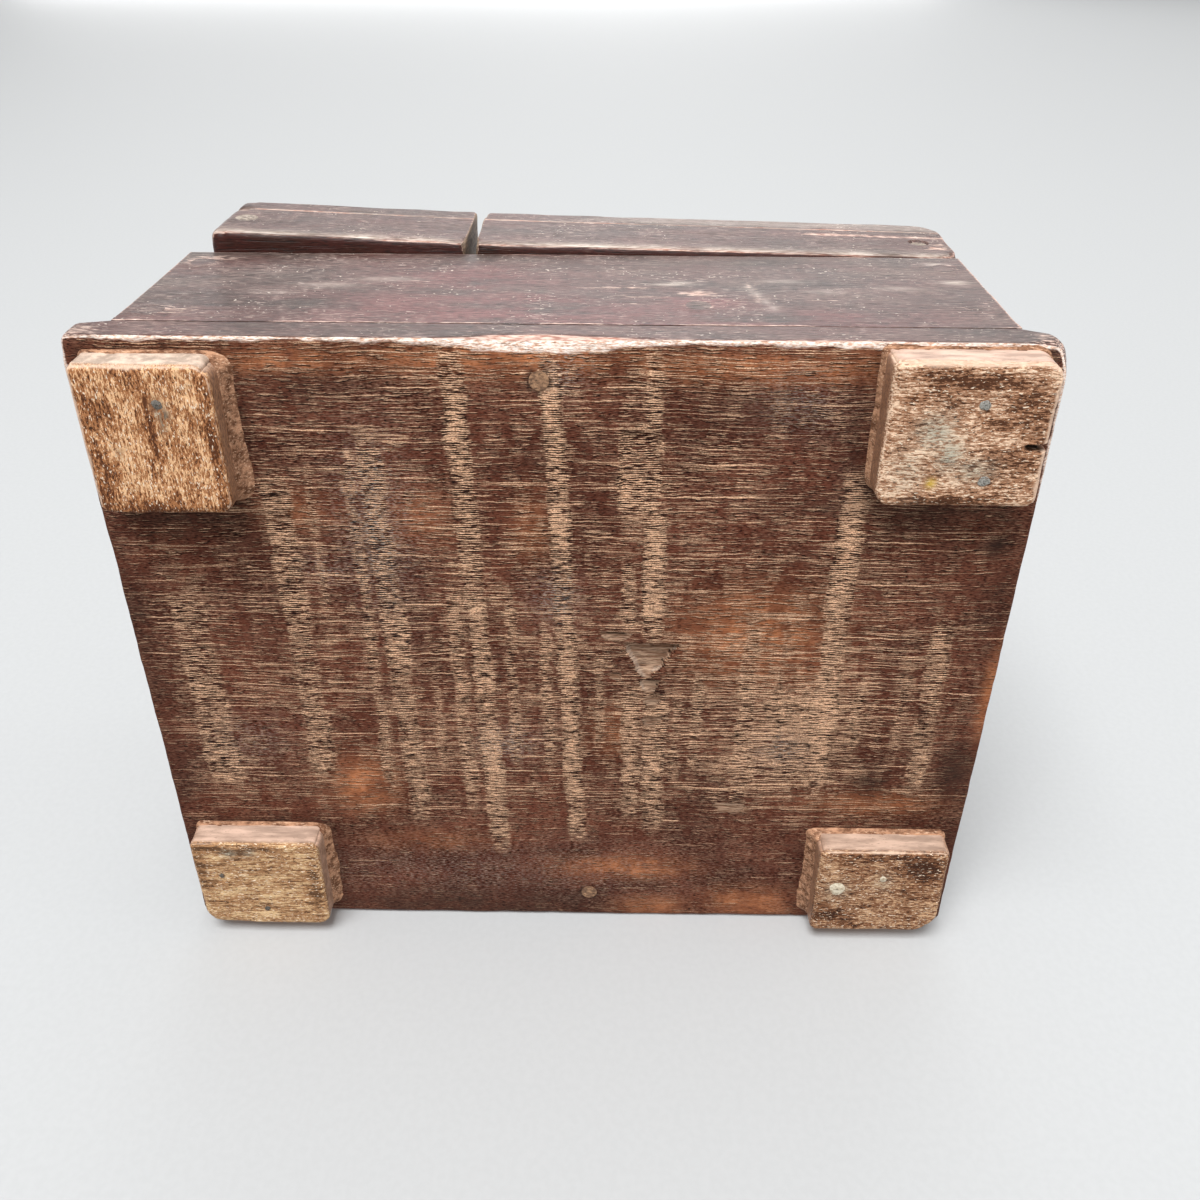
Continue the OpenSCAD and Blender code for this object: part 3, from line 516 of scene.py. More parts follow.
# Painted shade and highlight for the torn places, as lit from above: the step mark gets shade where the
# hollow falls away below an upper edge or an edge towards -X, and highlight on the opposite rims.
near = 0.3
up, left = np.array([0, near, 0]), np.array([near, 0, 0])
cliff_shade_and_highlight = torn_depth(flat - up) - torn_depth(flat + up)
cliff_shade_and_highlight += 0.7 * (torn_depth(flat + left) - torn_depth(flat - left))
step = np.maximum(step, 0) + np.clip(cliff_shade_and_highlight / 0.45, -1, 1)
wood_piece("worn_bottom_board", points, quads, "case", ["bottom_board"], board_finish(), {
    "band": under * band, "step": under * step, "chip": under * torn_depth(flat, bare=True),
    "thin": thin_stain, "stain_and_shade": under * dark_stain_and_shade, "dust": under * dusty, "dense": dense_fibre,
    "edge": edge_worn, "rubbed": 0.5 * rise(np.abs(x), 96, 106) * rise(y, 70, 84) * rise(z, 17, 14),
    "red": 0.15}, lacquer, flat[quads, 2].max(axis=1) > lo[2] + 0.9)

# Case walls: four planks on the bottom board, the ends set between the long sides and pegged through them.
# They are lacquered dark brown, scratched and specked, and the lacquer is gone along their edges.
peg_r = 3.0
side_pegs_at = [(95, 64), (95, 26), (-95, 64), (-95, 34), (-30.5, 32.5)]


def peg_gap(p, places):
    """Distance from the nearest peg's middle, on a board's face seen along Y."""
    return np.min([np.hypot(p[:, 0] - u, p[:, 2] - v) for u, v in places], axis=0)


def seat_pegs(p, relief, out, places):
    """Relief of a pegged face: level close round each peg, and a shallow seat under its end."""
    d = peg_gap(p, places)
    seat = -0.08 * rise(d, peg_r, peg_r - 0.25)
    return np.where(out, relief * rise(d, peg_r + 0.3, peg_r + 3) + seat, relief)


def wall_radius(p):
    """Rounding of a wall's edges, a little more where the wear is heavier, almost none at the bottom."""
    r = 0.50 + 0.25 * lattice_noise(p, (8, 8, 8), 21)
    return 0.06 + r * rise(p[:, 2], 20, 24)


def wall_relief(p):
    """Shallow waves left by the plane, and small dents, always inwards."""
    wave = 1 + lattice_noise(p, (45, 12, 12), 22)
    dent = 1 + lattice_noise(p, (4, 4, 3), 23)
    return -0.07 * wave - 0.035 * dent - 0.02


peg_rows_x = [(u - 4.2, u + 4.2) for u in (-95, -30.5, 95)]
peg_rows_z = [(22, 38.5), (60, 68.2)]
for side, node in ((1, "right_side"), (-1, "left_side")):
    lo, hi = box_of(node)
    outer = hi[1] if side > 0 else lo[1]

    def side_relief(p):
        """A long side: waves, and its outer face level with the peg ends."""
        out = np.abs(p[:, 1] - outer) < on_face
        return seat_pegs(p, wall_relief(p), out, side_pegs_at)

    points, quads, flat, gap = worn_board(lo, hi, (1.5, 2.5, 1.5), (2, 2, 2), wall_radius, side_relief,
                                          (peg_rows_x, (), peg_rows_z), (0.5, 0.5, 0.5))
    outside = (np.abs(flat[:, 1] - outer) < 2).astype(float)
    xz = flat[:, [0, 2]]
    rubbed = spots(xz, [(-31, 41.5, 5.5, 2.6, 0.75), (-18, 39, 9, 0.9, 0.75), (96, 65, 4.5, 5, 0.7),
                        (-60, 37, 5, 0.7, 0.5), (-14, 45.5, 12, 0.35, 0.85), (38, 49, 4, 2.5, 0.35),
                        (-15, 33.5, 6, 0.6, 0.5), (-82, 21, 3, 2, 0.4), (-45, 38, 1.2, 12, 0.42),
                        (-43.5, 47, 1.0, 6, 0.4), (-95, 63, 5, 3.5, 0.35), (90, 26, 7, 4, 0.5),
                        (93, 68, 8, 3, 0.6)])
    ring = peg_gap(flat, side_pegs_at) - 3.2
    ring = np.exp(-(ring / 0.6) ** 2) * (flat[:, 0] < 50)
    rubbed = np.maximum(rubbed, ring * (0.34 + 0.3 * lattice_noise(flat, (3, 3, 3), 25)))
    foot_line = np.exp(-((flat[:, 2] - 19.0) / 0.5) ** 2)
    foot_line *= rise(lattice_noise(flat, (10, 9, 9), 27), -0.6, 0.5)
    rubbed = np.maximum(rubbed, 0.8 * foot_line)
    red = spots(xz, [(10, 30, 60, 14, 1.0), (-60, 24, 30, 8, 0.8), (25, 52, 24, 12, 0.9),
                     (0, 19, 100, 4, 0.8), (-30, 36, 14, 8, 1.0)])
    rubbed = np.maximum(rubbed, 0.9 * np.exp(-(gap / 0.7) ** 2) * (flat[:, 0] < lo[0] + 1.2))
    rim = np.exp(-((hi[2] - flat[:, 2]) / 0.7) ** 2) * rise(lattice_noise(flat, (14, 9, 9), 26), -0.5, 0.6)
    drops = spots(xz, [(-93.5, 67, 2.6, 1.3, 0.6), (-95, 52, 3.2, 1.2, 0.7), (-27, 50, 3.0, 1.0, 0.5),
                       (-24, 48.5, 4, 0.7, 0.6), (59, 46, 7, 2.0, 0.34), (45, 51, 8, 1.6, 0.34),
                       (70, 40, 5, 1.5, 0.28), (-52, 52, 6, 1.2, 0.3), (-62, 44, 4, 1.5, 0.3),
                       (-43.5, 46, 1.2, 2.5, 0.36), (-45, 41, 1.2, 2.5, 0.36), (-46.5, 36, 1.2, 2.5, 0.36),
                       (-48, 31, 1.2, 2.5, 0.36), (-80, 47, 5, 1.2, 0.3)])
    wood_piece("worn_" + node, points, quads, "case", [node], lacquer, {
        "edge": gap + 3 * rise(flat[:, 2], 24, 20), "rubbed": outside * rubbed, "red": outside * red,
        "pale": np.maximum(0.6 * rim, drops) * outside})

end_lacquer = lacquer_finish("dark_lacquer_across", 1)
lo, hi = box_of("front_end")
points, quads, flat, gap = worn_board(lo, hi, (2.5, 2, 2), (2, 2, 2), wall_radius, wall_relief)
wood_piece("worn_front_end", points, quads, "case", ["front_end"], end_lacquer, {
    "edge": gap + 3 * rise(flat[:, 2], 70, 60),
    "rubbed": spots(flat[:, [1, 2]], [(20, 50, 12, 1, 0.5), (-40, 36, 18, 0.8, 0.5), (5, 71, 30, 1.2, 0.6)]),
    "red": spots(flat[:, [1, 2]], [(-20, 40, 50, 15, 0.8)])})

# Rear end wall: a lacquered plank that goes on upwards between the lid's rails, as a tongue with a round top.
# The two turning pins of the lid are driven into the tongue's ends.


def turned_corner(p, centre, reach, radius):
    """Rounds one corner of a board seen along Y: on each ray from the centre, distances shrink so that the
    board's outline, which is a rectangle of the given reach, comes no further out than the radius."""
    d = p[:, [0, 2]] - centre
    inside = (d * np.sign(reach) > 0).all(axis=1)
    far = np.hypot(*d.T)
    ray = np.abs(d) / np.maximum(far, 1e-9)[:, None]
    border = (np.abs(reach) / np.maximum(ray, 1e-9)).min(axis=1)
    scale = np.where(inside, np.minimum(1, radius / border), 1)
    turned = p.copy()
    turned[:, [0, 2]] = centre + d * scale[:, None]
    return turned


lo, hi = box_of("rear_end")
pivot = np.array([-94, 88])
rim_z, tongue_r = 74, 7.4
points, quads, flat, gap = worn_board(
    lo, hi, (1.5, 2, 1.5), (2, 2, 2), lambda p: np.where(p[:, 2] > 85, 0.2, wall_radius(p)), wall_relief,
    ((), (), [(rim_z - 0.6, rim_z + 0.6)]), (0.2, 0.2, 0.199))
middle = (lo[1] + hi[1]) / 2
tongue_share = 1 - 1 / (hi[1] - middle) * rise(points[:, 2], rim_z - 0.3, rim_z)
points[:, 1] = middle + (points[:, 1] - middle) * tongue_share
points = turned_corner(points, pivot, np.array([lo[0] - pivot[0], hi[2] - pivot[1]]), tongue_r)
points = turned_corner(points, pivot, np.array([hi[0] - pivot[0], hi[2] - pivot[1]]), tongue_r)
wood_piece("worn_rear_end", points, quads, "case", ["rear_end"], end_lacquer, {
    "edge": gap + 5 * rise(flat[:, 2], 84, 70),
    "rubbed": spots(flat[:, [1, 2]], [(0, 93, 40, 2, 0.6), (30, 44, 14, 1, 0.5), (-36, 60, 20, 0.8, 0.5)]),
    "red": spots(flat[:, [1, 2]], [(15, 40, 50, 16, 0.8)])})

# Divider: a low plain board across the inside, set between the long sides and pegged through them.
# Like all of the inside it was never lacquered, and it has gone dull and grey.


def inner_finish():
    """Dull unlacquered wood of the inside: brown grain with darker pores and grey dust."""
    mat, shader, at = begin_finish("dull_inner_wood")
    grain = field(at, (2.2, 16, 1.4), 4.0, 0.6)
    pore = field(at, (0.35, 7, 0.35), shift=9)
    cloud = field(at, (20, 30, 20), 3.0, 0.6, shift=4)
    colour = tone(ramp(grain, 0.35, 0.68), (0.16, 0.085, 0.05), (0.34, 0.205, 0.12))
    colour = tone(ramp(cloud, 0.45, 0.75, 0, 0.6), colour, (0.13, 0.085, 0.06))
    colour = tone(ramp(pore, 0.60, 0.70, 0, 0.8), colour, (0.06, 0.032, 0.022))
    feed(shader, {"Base Color": colour, "Roughness": times_plus(grain, 0.2, 0.58),
                  "Normal": bump(times_plus(pore, -0.6, grain), 0.15)})
    return mat


inner_wood = inner_finish()


def dress(finish, *nodes):
    """Gives CAD nodes that keep their own shape a finish."""
    for node in nodes:
        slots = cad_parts[node].data.materials
        slots.clear()
        slots.append(finish)


dress(inner_wood, "divider")

# Pegs and turning pins: whittled hardwood, driven through the walls, bottom and rails and cut off flush.
# Lacquer covers the ends in the long sides; the ends in the lid and the bottom are bare or stained.


def scaled(colour, factor, lift=0.0):
    """A colour made lighter or darker."""
    return tuple(min(1.0, factor * c + lift) for c in colour)


def peg_finish(name, dark, light):
    """End grain of a peg: fine dark pores on brown wood, under what is left of the finish around it."""
    mat, shader, at = begin_finish(name)
    pore = field(at, (0.8, 0.4, 0.6), 3.0, 0.65)
    cloud = field(at, (1.4, 0.9, 1.2), 3.0, 0.65, shift=8)
    colour = tone(ramp(cloud, 0.35, 0.7), dark, light)
    colour = tone(ramp(pore, 0.55, 0.68, 0, 0.8), colour, scaled(dark, 0.3))
    feed(shader, {"Base Color": colour, "Roughness": times_plus(pore, 0.25, 0.5), "Normal": bump(pore, 0.12)})
    return mat


dress(lacquer_finish("lacquered_peg", 0, bare_edges=False), "side_pegs", "divider_pegs")
dress(peg_finish("bare_peg", (0.17, 0.130, 0.100), (0.46, 0.385, 0.315)),
      "turning_pins", "front_rail_pegs")
dress(peg_finish("stained_peg", (0.130, 0.064, 0.034), (0.44, 0.25, 0.135)), "bottom_pegs")

# Feet: four blocks of paler wood of different sizes, nailed on and worn by standing.
# Stain is left on their sides, paler towards the overhead lamp as painted light and browner on the other
# sides as painted shade; their faces are bare and speckled, and their corners are rubbed round, with a
# painted highlight on the lit arrises.


def foot_finish(name, grain, streaky, dark, brown, gold, flank, paint):
    """Worn bare wood: fine gold, brown and dark grains of open pores, streaked along the grain, with dirt in
    patches and pale sparkling fibres; a smooth stain on the sides, pale as painted light on the side towards
    the lamp and browner as painted shade on the others, pale arrises with a painted highlight where lit,
    paint marks and a crack."""
    mat, shader, at = begin_finish(name)
    grains = field(at, along(grain, 1.5, 0.42), 3.0, 0.72)
    patch = field(at, along(grain, 8, 4), 4.0, 0.6, shift=6)
    streak = field(at, along(grain, 9, 0.6), 3.0, 0.65, shift=2)
    spark = field(at, along(grain, 0.9, 0.34), 1.0, 0.5, shift=15)
    names = ("edge", "dirt", "grey", "yellow", "side", "crack", "inner")
    edge, dirt, grey, yellow, side, crack, inner = (mark(at, name) for name in names)
    wood = times_plus(grains, 1.0 - streaky, times(streak, streaky))
    cloud = stir(wood, patch, 0.36)
    level = times_plus(dirt, -0.16, cloud)
    colour = tone(ramp(level, 0.39, 0.45), dark, brown)
    colour = tone(ramp(level, 0.49, 0.575), colour, gold)
    sparkle = stir(spark, patch, 0.12)
    colour = tone(ramp(sparkle, 0.64, 0.71, 0, 0.9), colour, (0.90, 0.75, 0.58))
    colour = tone(ramp(sparkle, 0.36, 0.28, 0, 0.95), colour, (0.050, 0.024, 0.015))
    colour = tone(times(grey, ramp(grains, 0.38, 0.58, 0.1, 1.0)), colour, paint)
    colour = tone(yellow, colour, (0.66, 0.44, 0.07))
    soft = field(at, along(grain, 12, 2.5), 3.0, 0.55, shift=21)
    # Painted light: the pale stain of the sides, as lightened for the side towards the overhead lamp.
    coat_and_light = tone(ramp(soft, 0.34, 0.66), flank, scaled(flank, 1.75, 0.02))
    coat_and_light = tone(ramp(grains, 0.42, 0.30, 0, 0.5), coat_and_light, scaled(flank, 0.45))
    brown_and_shaded_side = tone(ramp(grains, 0.36, 0.66), (0.130, 0.055, 0.028), (0.44, 0.215, 0.110))
    # The sides away from the lamp take a darker brown, partly stain and partly painted shade.
    colour = tone(side, colour, tone(inner, coat_and_light, brown_and_shaded_side))
    # Arrises rubbed pale, with a painted highlight where the side is lit.
    rub_and_highlight = ramp(stir(edge, patch, 3.4), 1.5, 0.5, 0, 0.9)
    colour = tone(rub_and_highlight, colour, tone(grains, (0.52, 0.29, 0.18), (0.88, 0.70, 0.55)))
    colour = tone(crack, colour, (0.010, 0.007, 0.006))
    rough = times_plus(side, -0.14, times_plus(grains, 0.25, 0.45))
    relief = times_plus(spark, 0.4, times(wood, 0.8))
    relief = times(relief, times_plus(side, -0.8, 1.0))
    feed(shader, {"Base Color": colour, "Roughness": rough, "Normal": bump(relief, 0.46),
                  "Specular IOR Level": 0.08})
    return mat


# Each foot, in the order of feet: its grain, how streaky it is, its three tones, the stain on its sides, made
# pale as painted light for the side towards the lamp, and the paint marks' tone.
foot_kinds = [
    (1, 0.25, (0.120, 0.043, 0.019), (0.40, 0.170, 0.070), (0.84, 0.52, 0.29),
     (0.42, 0.325, 0.258), (0.072, 0.066, 0.058)),
    (0, 0.35, (0.090, 0.036, 0.018), (0.38, 0.190, 0.104), (0.90, 0.64, 0.45),
     (0.39, 0.270, 0.212), (0.46, 0.45, 0.36)),
    (0, 0.50, (0.130, 0.064, 0.031), (0.39, 0.205, 0.098), (0.72, 0.49, 0.27),
     (0.37, 0.255, 0.195), (0.40, 0.39, 0.31)),
    (0, 0.3, (0.055, 0.022, 0.012), (0.235, 0.103, 0.050), (0.60, 0.37, 0.215),
     (0.34, 0.235, 0.178), (0.40, 0.38, 0.29)),
]
# Dirt and paint on each face as soft spots: middle, half sizes and strength.
foot_dirt = [
    [(77, 64, 1.4, 16, 1.0), (101, 74, 4, 5, 0.6), (92, 48, 14, 2.5, 0.9),
     (89.8, 70, 0.7, 9, 0.9), (91.5, 58, 0.7, 5, 0.6), (103, 58, 3, 9, 0.5)],
    [(-88, 81, 13, 2.2, 0.75), (-100, 74, 5, 6, 0.8), (-96, 62, 8, 2, 0.7),
     (-84, 52.5, 12, 1.2, 0.8), (-78, 77, 6, 5, 0.4), (-95, 64.8, 7, 0.5, 0.9)],
    [(92, -58.5, 16, 1.8, 0.8), (72, -72, 2, 14, 0.7), (104, -66, 2, 5, 0.7),
     (84, -66, 10, 1.2, 0.5)],
    [(-99, -62, 6, 6, 0.8), (-74, -82, 5, 5, 0.5), (-88, -58.5, 16, 1.6, 0.6)],
]
foot_paint = [
    [(87.6, 73.2, 1.3, 1.9, 1.0), (86.4, 71.6, 1.5, 1.9, 1.0),
     (87.2, 69.6, 0.9, 2.6, 0.9), (98, 62, 1.0, 1.0, 0.6)],
    [(-81, 69, 4, 4, 0.9), (-84.5, 64, 3, 4, 0.9), (-90, 60, 5, 3, 0.6),
     (-76, 60, 4, 6, 0.4)],
    [(95, -60, 2.0, 1.6, 0.6), (89, -60, 1.6, 1.4, 0.6)],
    [(-88.5, -68, 2.2, 3.0, 0.5), (-76, -71.5, 3.6, 3.0, 0.5)],
]
# Radii of each foot's corners: front right, rear right, front left and rear left. Then for its front, rear,
# right and left side the width of the putty, how pale the arris is as painted highlight, and how brown the
# side is as painted shade.
foot_corners = [(1.6, 4.2, 2.0, 3.6), (1.2, 4.4, 4.0, 2.4), (2.2, 2.4, 5.5, 3.6), (1.6, 2.6, 2.2, 7.5)]
foot_sides = [[(0.5, 3.4, 0.6, 1.0), (0.9, 0.55, 0.8, 0.1), (0.75, 0.9, 0.0, 0.9)],
              [(1.5, 0.5, 0.4, 0.8), (0.6, 1.0, 1.0, 0.3), (0.85, 0.75, 0.0, 0.9)],
              [(0.5, 2.8, 1.0, 0.8), (0.2, 0.1, 0.45, 0.5), (0.8, 0.5, 0.0, 0.8)],
              [(3.2, 0.6, 1.2, 0.8), (0.3, 0.3, 0.7, 0.35), (0.8, 0.85, 0.0, 0.8)]]
nail_places = np.array([(87.5, 73.781), (-90.25, 75.531), (-93.25, 57.531), (87.25, -81.719),
                        (98.25, -68.719), (-88.25, -66.719), (-75.75, -70.719)])
crack_y, crack_end, crack_top = 65.8, -100.4, 6


def foot_radius(p):
    """Rounding of a foot: nearly two millimetres where it is handled, uneven, little at the board."""
    r = 1.5 + 0.6 * lattice_noise(p, (9, 9, 20), 31)
    return np.clip(r, 0.7, 2.4) * rise(p[:, 2], 9.5, 6) + 0.25


def crack_depth(p):
    """The split in the end of the rear right foot: a wedge across the face, open at the end of the block."""
    wide = 0.75 + 0.25 * rise(p[:, 0], crack_end, -106)
    slope = crack_y + 0.06 * (p[:, 0] - crack_end) + 0.2 * lattice_noise(p, (1.5, endless, endless), 35)
    return rise(np.abs(p[:, 1] - slope), wide, 0.55 * wide) * rise(p[:, 0], crack_end, crack_end - 1.2)


def foot_relief(p):
    """Worn hollows and pits of a foot's face, deeper round the nails, and the split."""
    face = p[:, 2] < on_face
    d = np.hypot(p[:, 0:1] - nail_places[:, 0], p[:, 1:2] - nail_places[:, 1]).min(axis=1)
    wave = 1 + lattice_noise(p, (12, 12, 8), 32)
    pits = rise(lattice_noise(p, (1.6, 1.2, 1.6), 33), 0.3, 0.8)
    lumps = 1 + lattice_noise(p, (3.5, 3.5, 3.5), 34)
    split = 2.2 * crack_depth(p) * (p[:, 2] < crack_top)
    return -(0.10 * wave + 0.06 * lumps + 0.18 * pits + 0.3 * face * np.exp(-(d / 2.2) ** 2) + split)


def round_plan(p, lo, hi, radii):
    """Rounds a block's four upright corners: in each corner's square a point keeps its direction from the
    inner corner, and its distance becomes the larger of its two coordinates, so the square turns into a
    quarter disc."""
    front, right = p[:, 0] > (lo[0] + hi[0]) / 2, p[:, 1] > (lo[1] + hi[1]) / 2
    r = np.select([front & right, right, front], [radii[0], radii[1], radii[2]], radii[3])[:, None]
    core = np.minimum(np.maximum(p[:, :2], lo[:2] + r), hi[:2] - r)
    d = p[:, :2] - core
    far = np.linalg.norm(d, axis=1, keepdims=True)
    turned = p.copy()
    turned[:, :2] = core + d / np.maximum(far, 1e-12) * np.abs(d).max(axis=1, keepdims=True)
    return turned


for node, kind, dirt, paint, corners, sides in zip(
        feet, foot_kinds, foot_dirt, foot_paint, foot_corners, foot_sides):
    lo, hi = box_of(node)
    cracked = node == "rear_right_foot"
    split_row = [(crack_y - 1.6, crack_y + 1.6)] if cracked else []
    points, quads, flat, gap = worn_board(lo, hi, (0.6, 0.6, 0.6), (2.5, 2.5, 2.5), foot_radius, foot_relief,
                                          ((), split_row, ()), (0.2, 0.199, 0.2))
    x, y, z = flat.T
    near = np.exp(-np.column_stack([hi[0] - x, x - lo[0], hi[1] - y, y - lo[1]]) / 1.2)
    near = near / near.sum(axis=1, keepdims=True)
    lit, side_brown_and_shade = (near @ np.array(share) for share in sides[1:])
    yellow = [(-81.6, 56.9, 1.0, 1.1, 0.9)] if cracked else []
    points = round_plan(points, lo, hi, corners)
    finish = foot_finish("bare_" + node, *kind)
    # The edge mark adds painted highlight to the arrises of lit sides; the inner mark gives the sides away
    # from the lamp their darker brown as painted shade.
    wood_piece("worn_" + node, points, quads, "case", [node], finish, {
        "edge": gap + 3 * rise(z, 5, 8) + 2.2 * (1 - lit), "dirt": spots(flat, dirt),
        "grey": spots(flat, paint), "yellow": spots(flat, yellow), "inner": side_brown_and_shade,
        "side": rise(z, 0.4, 1.8), "crack": crack_depth(flat) * (z < crack_top) * cracked})

# Putty round the feet: brown filler and old stain run into the corner between each foot and the board.
# It is thick along the sides that face the middle of the box and thin along the others.


def putty_finish():
    """Brown filler: dark lumps with tan crumbs."""
    mat, shader, at = begin_finish("brown_putty")
    lump = field(at, (4.5, 2.0, 2.0), 4.0, 0.7)
    crumb = field(at, (1.3, 0.4, 0.4), 2.0, 0.6, shift=4)
    colour = tone(ramp(lump, 0.36, 0.66), (0.130, 0.056, 0.030), (0.500, 0.270, 0.160))
    colour = tone(ramp(crumb, 0.56, 0.70, 0, 0.8), colour, (0.70, 0.46, 0.31))
    colour = tone(ramp(crumb, 0.38, 0.28, 0, 0.8), colour, (0.022, 0.011, 0.008))
    feed(shader, {"Base Color": colour, "Roughness": times_plus(crumb, 0.3, 0.5),
                  "Normal": bump(times_plus(crumb, 0.5, lump), 0.35), "Specular IOR Level": 0.06})
    return mat


def putty_ring(lo, hi, radii, widths, seed):
    """A hollow fillet run round a foot: a profile that falls from the foot's side to the board as (1 - t)
    squared, closed behind inside the wood, carried along the foot's outline; its width follows the side it
    is on and noise."""
    n = 120
    count = 4 * n
    t = np.arange(n) / n
    zero, one = np.zeros(n), np.ones(n)
    sides = [(t, zero), (one, t), (1 - t, one), (zero, 1 - t)]
    box_line = np.concatenate([np.stack(side, 1) for side in sides])
    line = np.column_stack([lo[:2] + box_line * (hi - lo)[:2], np.zeros(count)])
    line = round_plan(line, lo, hi, radii)[:, :2]
    step = np.roll(line, -2, axis=0) - np.roll(line, 2, axis=0)
    out = np.stack([step[:, 1], -step[:, 0]], 1) / np.linalg.norm(step, axis=1, keepdims=True)
    facing = np.stack([out[:, 0], -out[:, 0], out[:, 1], -out[:, 1]], 1)
    share = np.maximum(facing, 0) ** 2
    at = np.column_stack([line, np.zeros(count)])
    lump = lattice_noise(at, (9, 9, endless), seed) + 0.4 * lattice_noise(at, (3, 3, endless), seed + 1)
    width = (share @ np.array(widths)) * (1 + 0.16 * lump)
    fall = np.linspace(0, 1, 9)
    high = np.minimum(0.85 * width + 0.3, 5.5)
    reach = np.concatenate([fall[None, :] * width[:, None], width[:, None], np.full((count, 2), -0.5)], 1)
    slope = high[:, None] * (1 - fall[None, :]) ** 2 - 0.45
    drop = np.concatenate([slope, np.full((count, 2), -0.6), high[:, None]], 1)
    plan = line[:, None, :] + out[:, None, :] * reach[:, :, None]
    surface = np.concatenate([plan, hi[2] - drop[:, :, None]], 2)
    grid = surface.reshape(-1, 3)
    rough = lattice_noise(grid, (1.1, 1.1, 1.1), seed + 2).reshape(reach.shape) * rise(width, 0.8, 3)[:, None]
    surface[:, 1:8, 2] += 0.12 * rough[:, 1:8]
    m = reach.shape[1]
    i, j = np.meshgrid(np.arange(count), np.arange(m), indexing="ij")
    a, b = i * m + j, (i + 1) % count * m + j
    c, d = (i + 1) % count * m + (j + 1) % m, i * m + (j + 1) % m
    return surface.reshape(-1, 3), np.stack([a, b, c, d], -1).reshape(-1, 4)


putty_brown = putty_finish()
for order, (node, corners, sides) in enumerate(zip(feet, foot_corners, foot_sides)):
    lo, hi = box_of(node)
    points, quads = putty_ring(lo, hi, corners, sides[0], 60 + 3 * order)
    wood_piece(node.replace("foot", "foot_putty"), points, quads, "case", [], putty_brown, {})

# Foot nails: hand-made iron nails driven through the feet, their heads worn down and grey with rust.
# Two of them are filled over with pale putty.


def nail_finish():
    """Worn iron heads: grey with brown rust and a rough skin; pale where they are filled over."""
    mat, shader, at = begin_finish("worn_nail_heads")
    rust = field(at, (1.0, 1.0, 1.0), 4.0, 0.65)
    skin = field(at, (0.25, 0.25, 0.25), shift=3)
    filled, bright = mark(at, "filled"), mark(at, "bright")
    colour = tone(ramp(skin, 0.3, 0.7), (0.056, 0.049, 0.041), (0.17, 0.150, 0.128))
    colour = tone(times(bright, ramp(skin, 0.25, 0.6)), colour, (0.40, 0.39, 0.355))
    colour = tone(ramp(rust, 0.54, 0.70, 0, 0.8), colour, (0.15, 0.075, 0.042))
    chalk = tone(ramp(rust, 0.4, 0.66), (0.76, 0.68, 0.53), (0.42, 0.32, 0.21))
    feed(shader, {"Base Color": tone(filled, colour, chalk), "Roughness": times_plus(rust, 0.3, 0.38),
                  "Normal": bump(times_plus(skin, 0.5, rust), 0.2), "Specular IOR Level": 0.2})
    return mat


# Each head: its radius, how far it is domed, its brightness and whether it is filled over.
head_kinds = np.array([(1.6, 0.55, 0.15, 0), (1.2, 0.15, 0.8, 0), (1.3, 0.15, 0.8, 0), (0.8, 0.1, 0.0, 0),
                       (0.75, 0.1, 0.0, 0), (1.0, 0.2, 0.3, 0.9), (2.5, 0.3, 0.3, 1.0)])


def nail_heads(spokes=28, rings=9):
    """Seven lens-shaped heads: on each, the radius runs from the middle to the rim and round under it, the
    height is a parabola, and the outline wavers with the angle; both faces have a single middle point."""
    turn = np.arange(spokes) / spokes * 2 * np.pi
    run = np.concatenate([np.linspace(0, 1, rings + 1)[1:], np.linspace(1, 0, 4)[1:-1]])
    under = np.concatenate([np.zeros(rings), np.ones(2)])
    face, seat = 0.02, 0.9
    groups = []
    i, j = np.meshgrid(np.arange(len(run) - 1), np.arange(spokes), indexing="ij")
    near, far = 1 + i * spokes + j, 1 + i * spokes + (j + 1) % spokes
    quads = np.stack([near, far, far + spokes, near + spokes], -1).reshape(-1, 4)
    last = 1 + len(run) * spokes
    j = np.arange(spokes)
    cap = np.stack([0 * j, 1 + (j + 1) % spokes, 1 + j], 1)
    base = np.stack([0 * j + last, last - spokes + j, last - spokes + (j + 1) % spokes], 1)
    for k, ((x, y), (radius, dome, bright, filled)) in enumerate(zip(nail_places, head_kinds)):
        waver = 1 + 0.07 * np.sin(2 * turn + k) + 0.05 * np.sin(3 * turn + 2 * k)
        waver += 0.04 * np.sin(5 * turn + 5 * k)
        r = run[:, None] * radius * waver
        z = np.where(under[:, None] > 0, seat, face + dome * run[:, None] ** 2) + 0 * r
        ring = np.stack([x + r * np.cos(turn), y + r * np.sin(turn), z], -1).reshape(-1, 3)
        groups.append(np.concatenate([[[x, y, face]], ring, [[x, y, seat]]]))
    size = last + 1
    shift = np.arange(len(nail_places))[:, None, None] * size
    quads = (quads[None] + shift).reshape(-1, 4)
    caps = (np.concatenate([cap, base])[None] + shift).reshape(-1, 3)
    return np.concatenate(groups), quads, caps, np.repeat(head_kinds, size, axis=0)


points, quads, caps, kinds = nail_heads()
corners = np.concatenate([quads[:, [0, 2, 1]], quads[:, [0, 3, 2]], caps])
wood_piece("worn_foot_nails", points, corners, "case", ["foot_nails"], nail_finish(),
           {"bright": kinds[:, 2], "filled": kinds[:, 3]})

# Rear leaf of the lid: a top board with a rounded heel, on two side rails bored for the turning pins.
# It lies a little askew on its worn pins, so it stands out over the long side towards the saw cut.
leaf_corner = np.array([-102.0, 86.281, 74.3])
rear_turn = np.radians(1.25)
rear_l, leaf_w, leaf_h, rail_h, rail_t, saw_cut = 128.0, 178.0, 33.0, 24.0, 13.0, 2.5


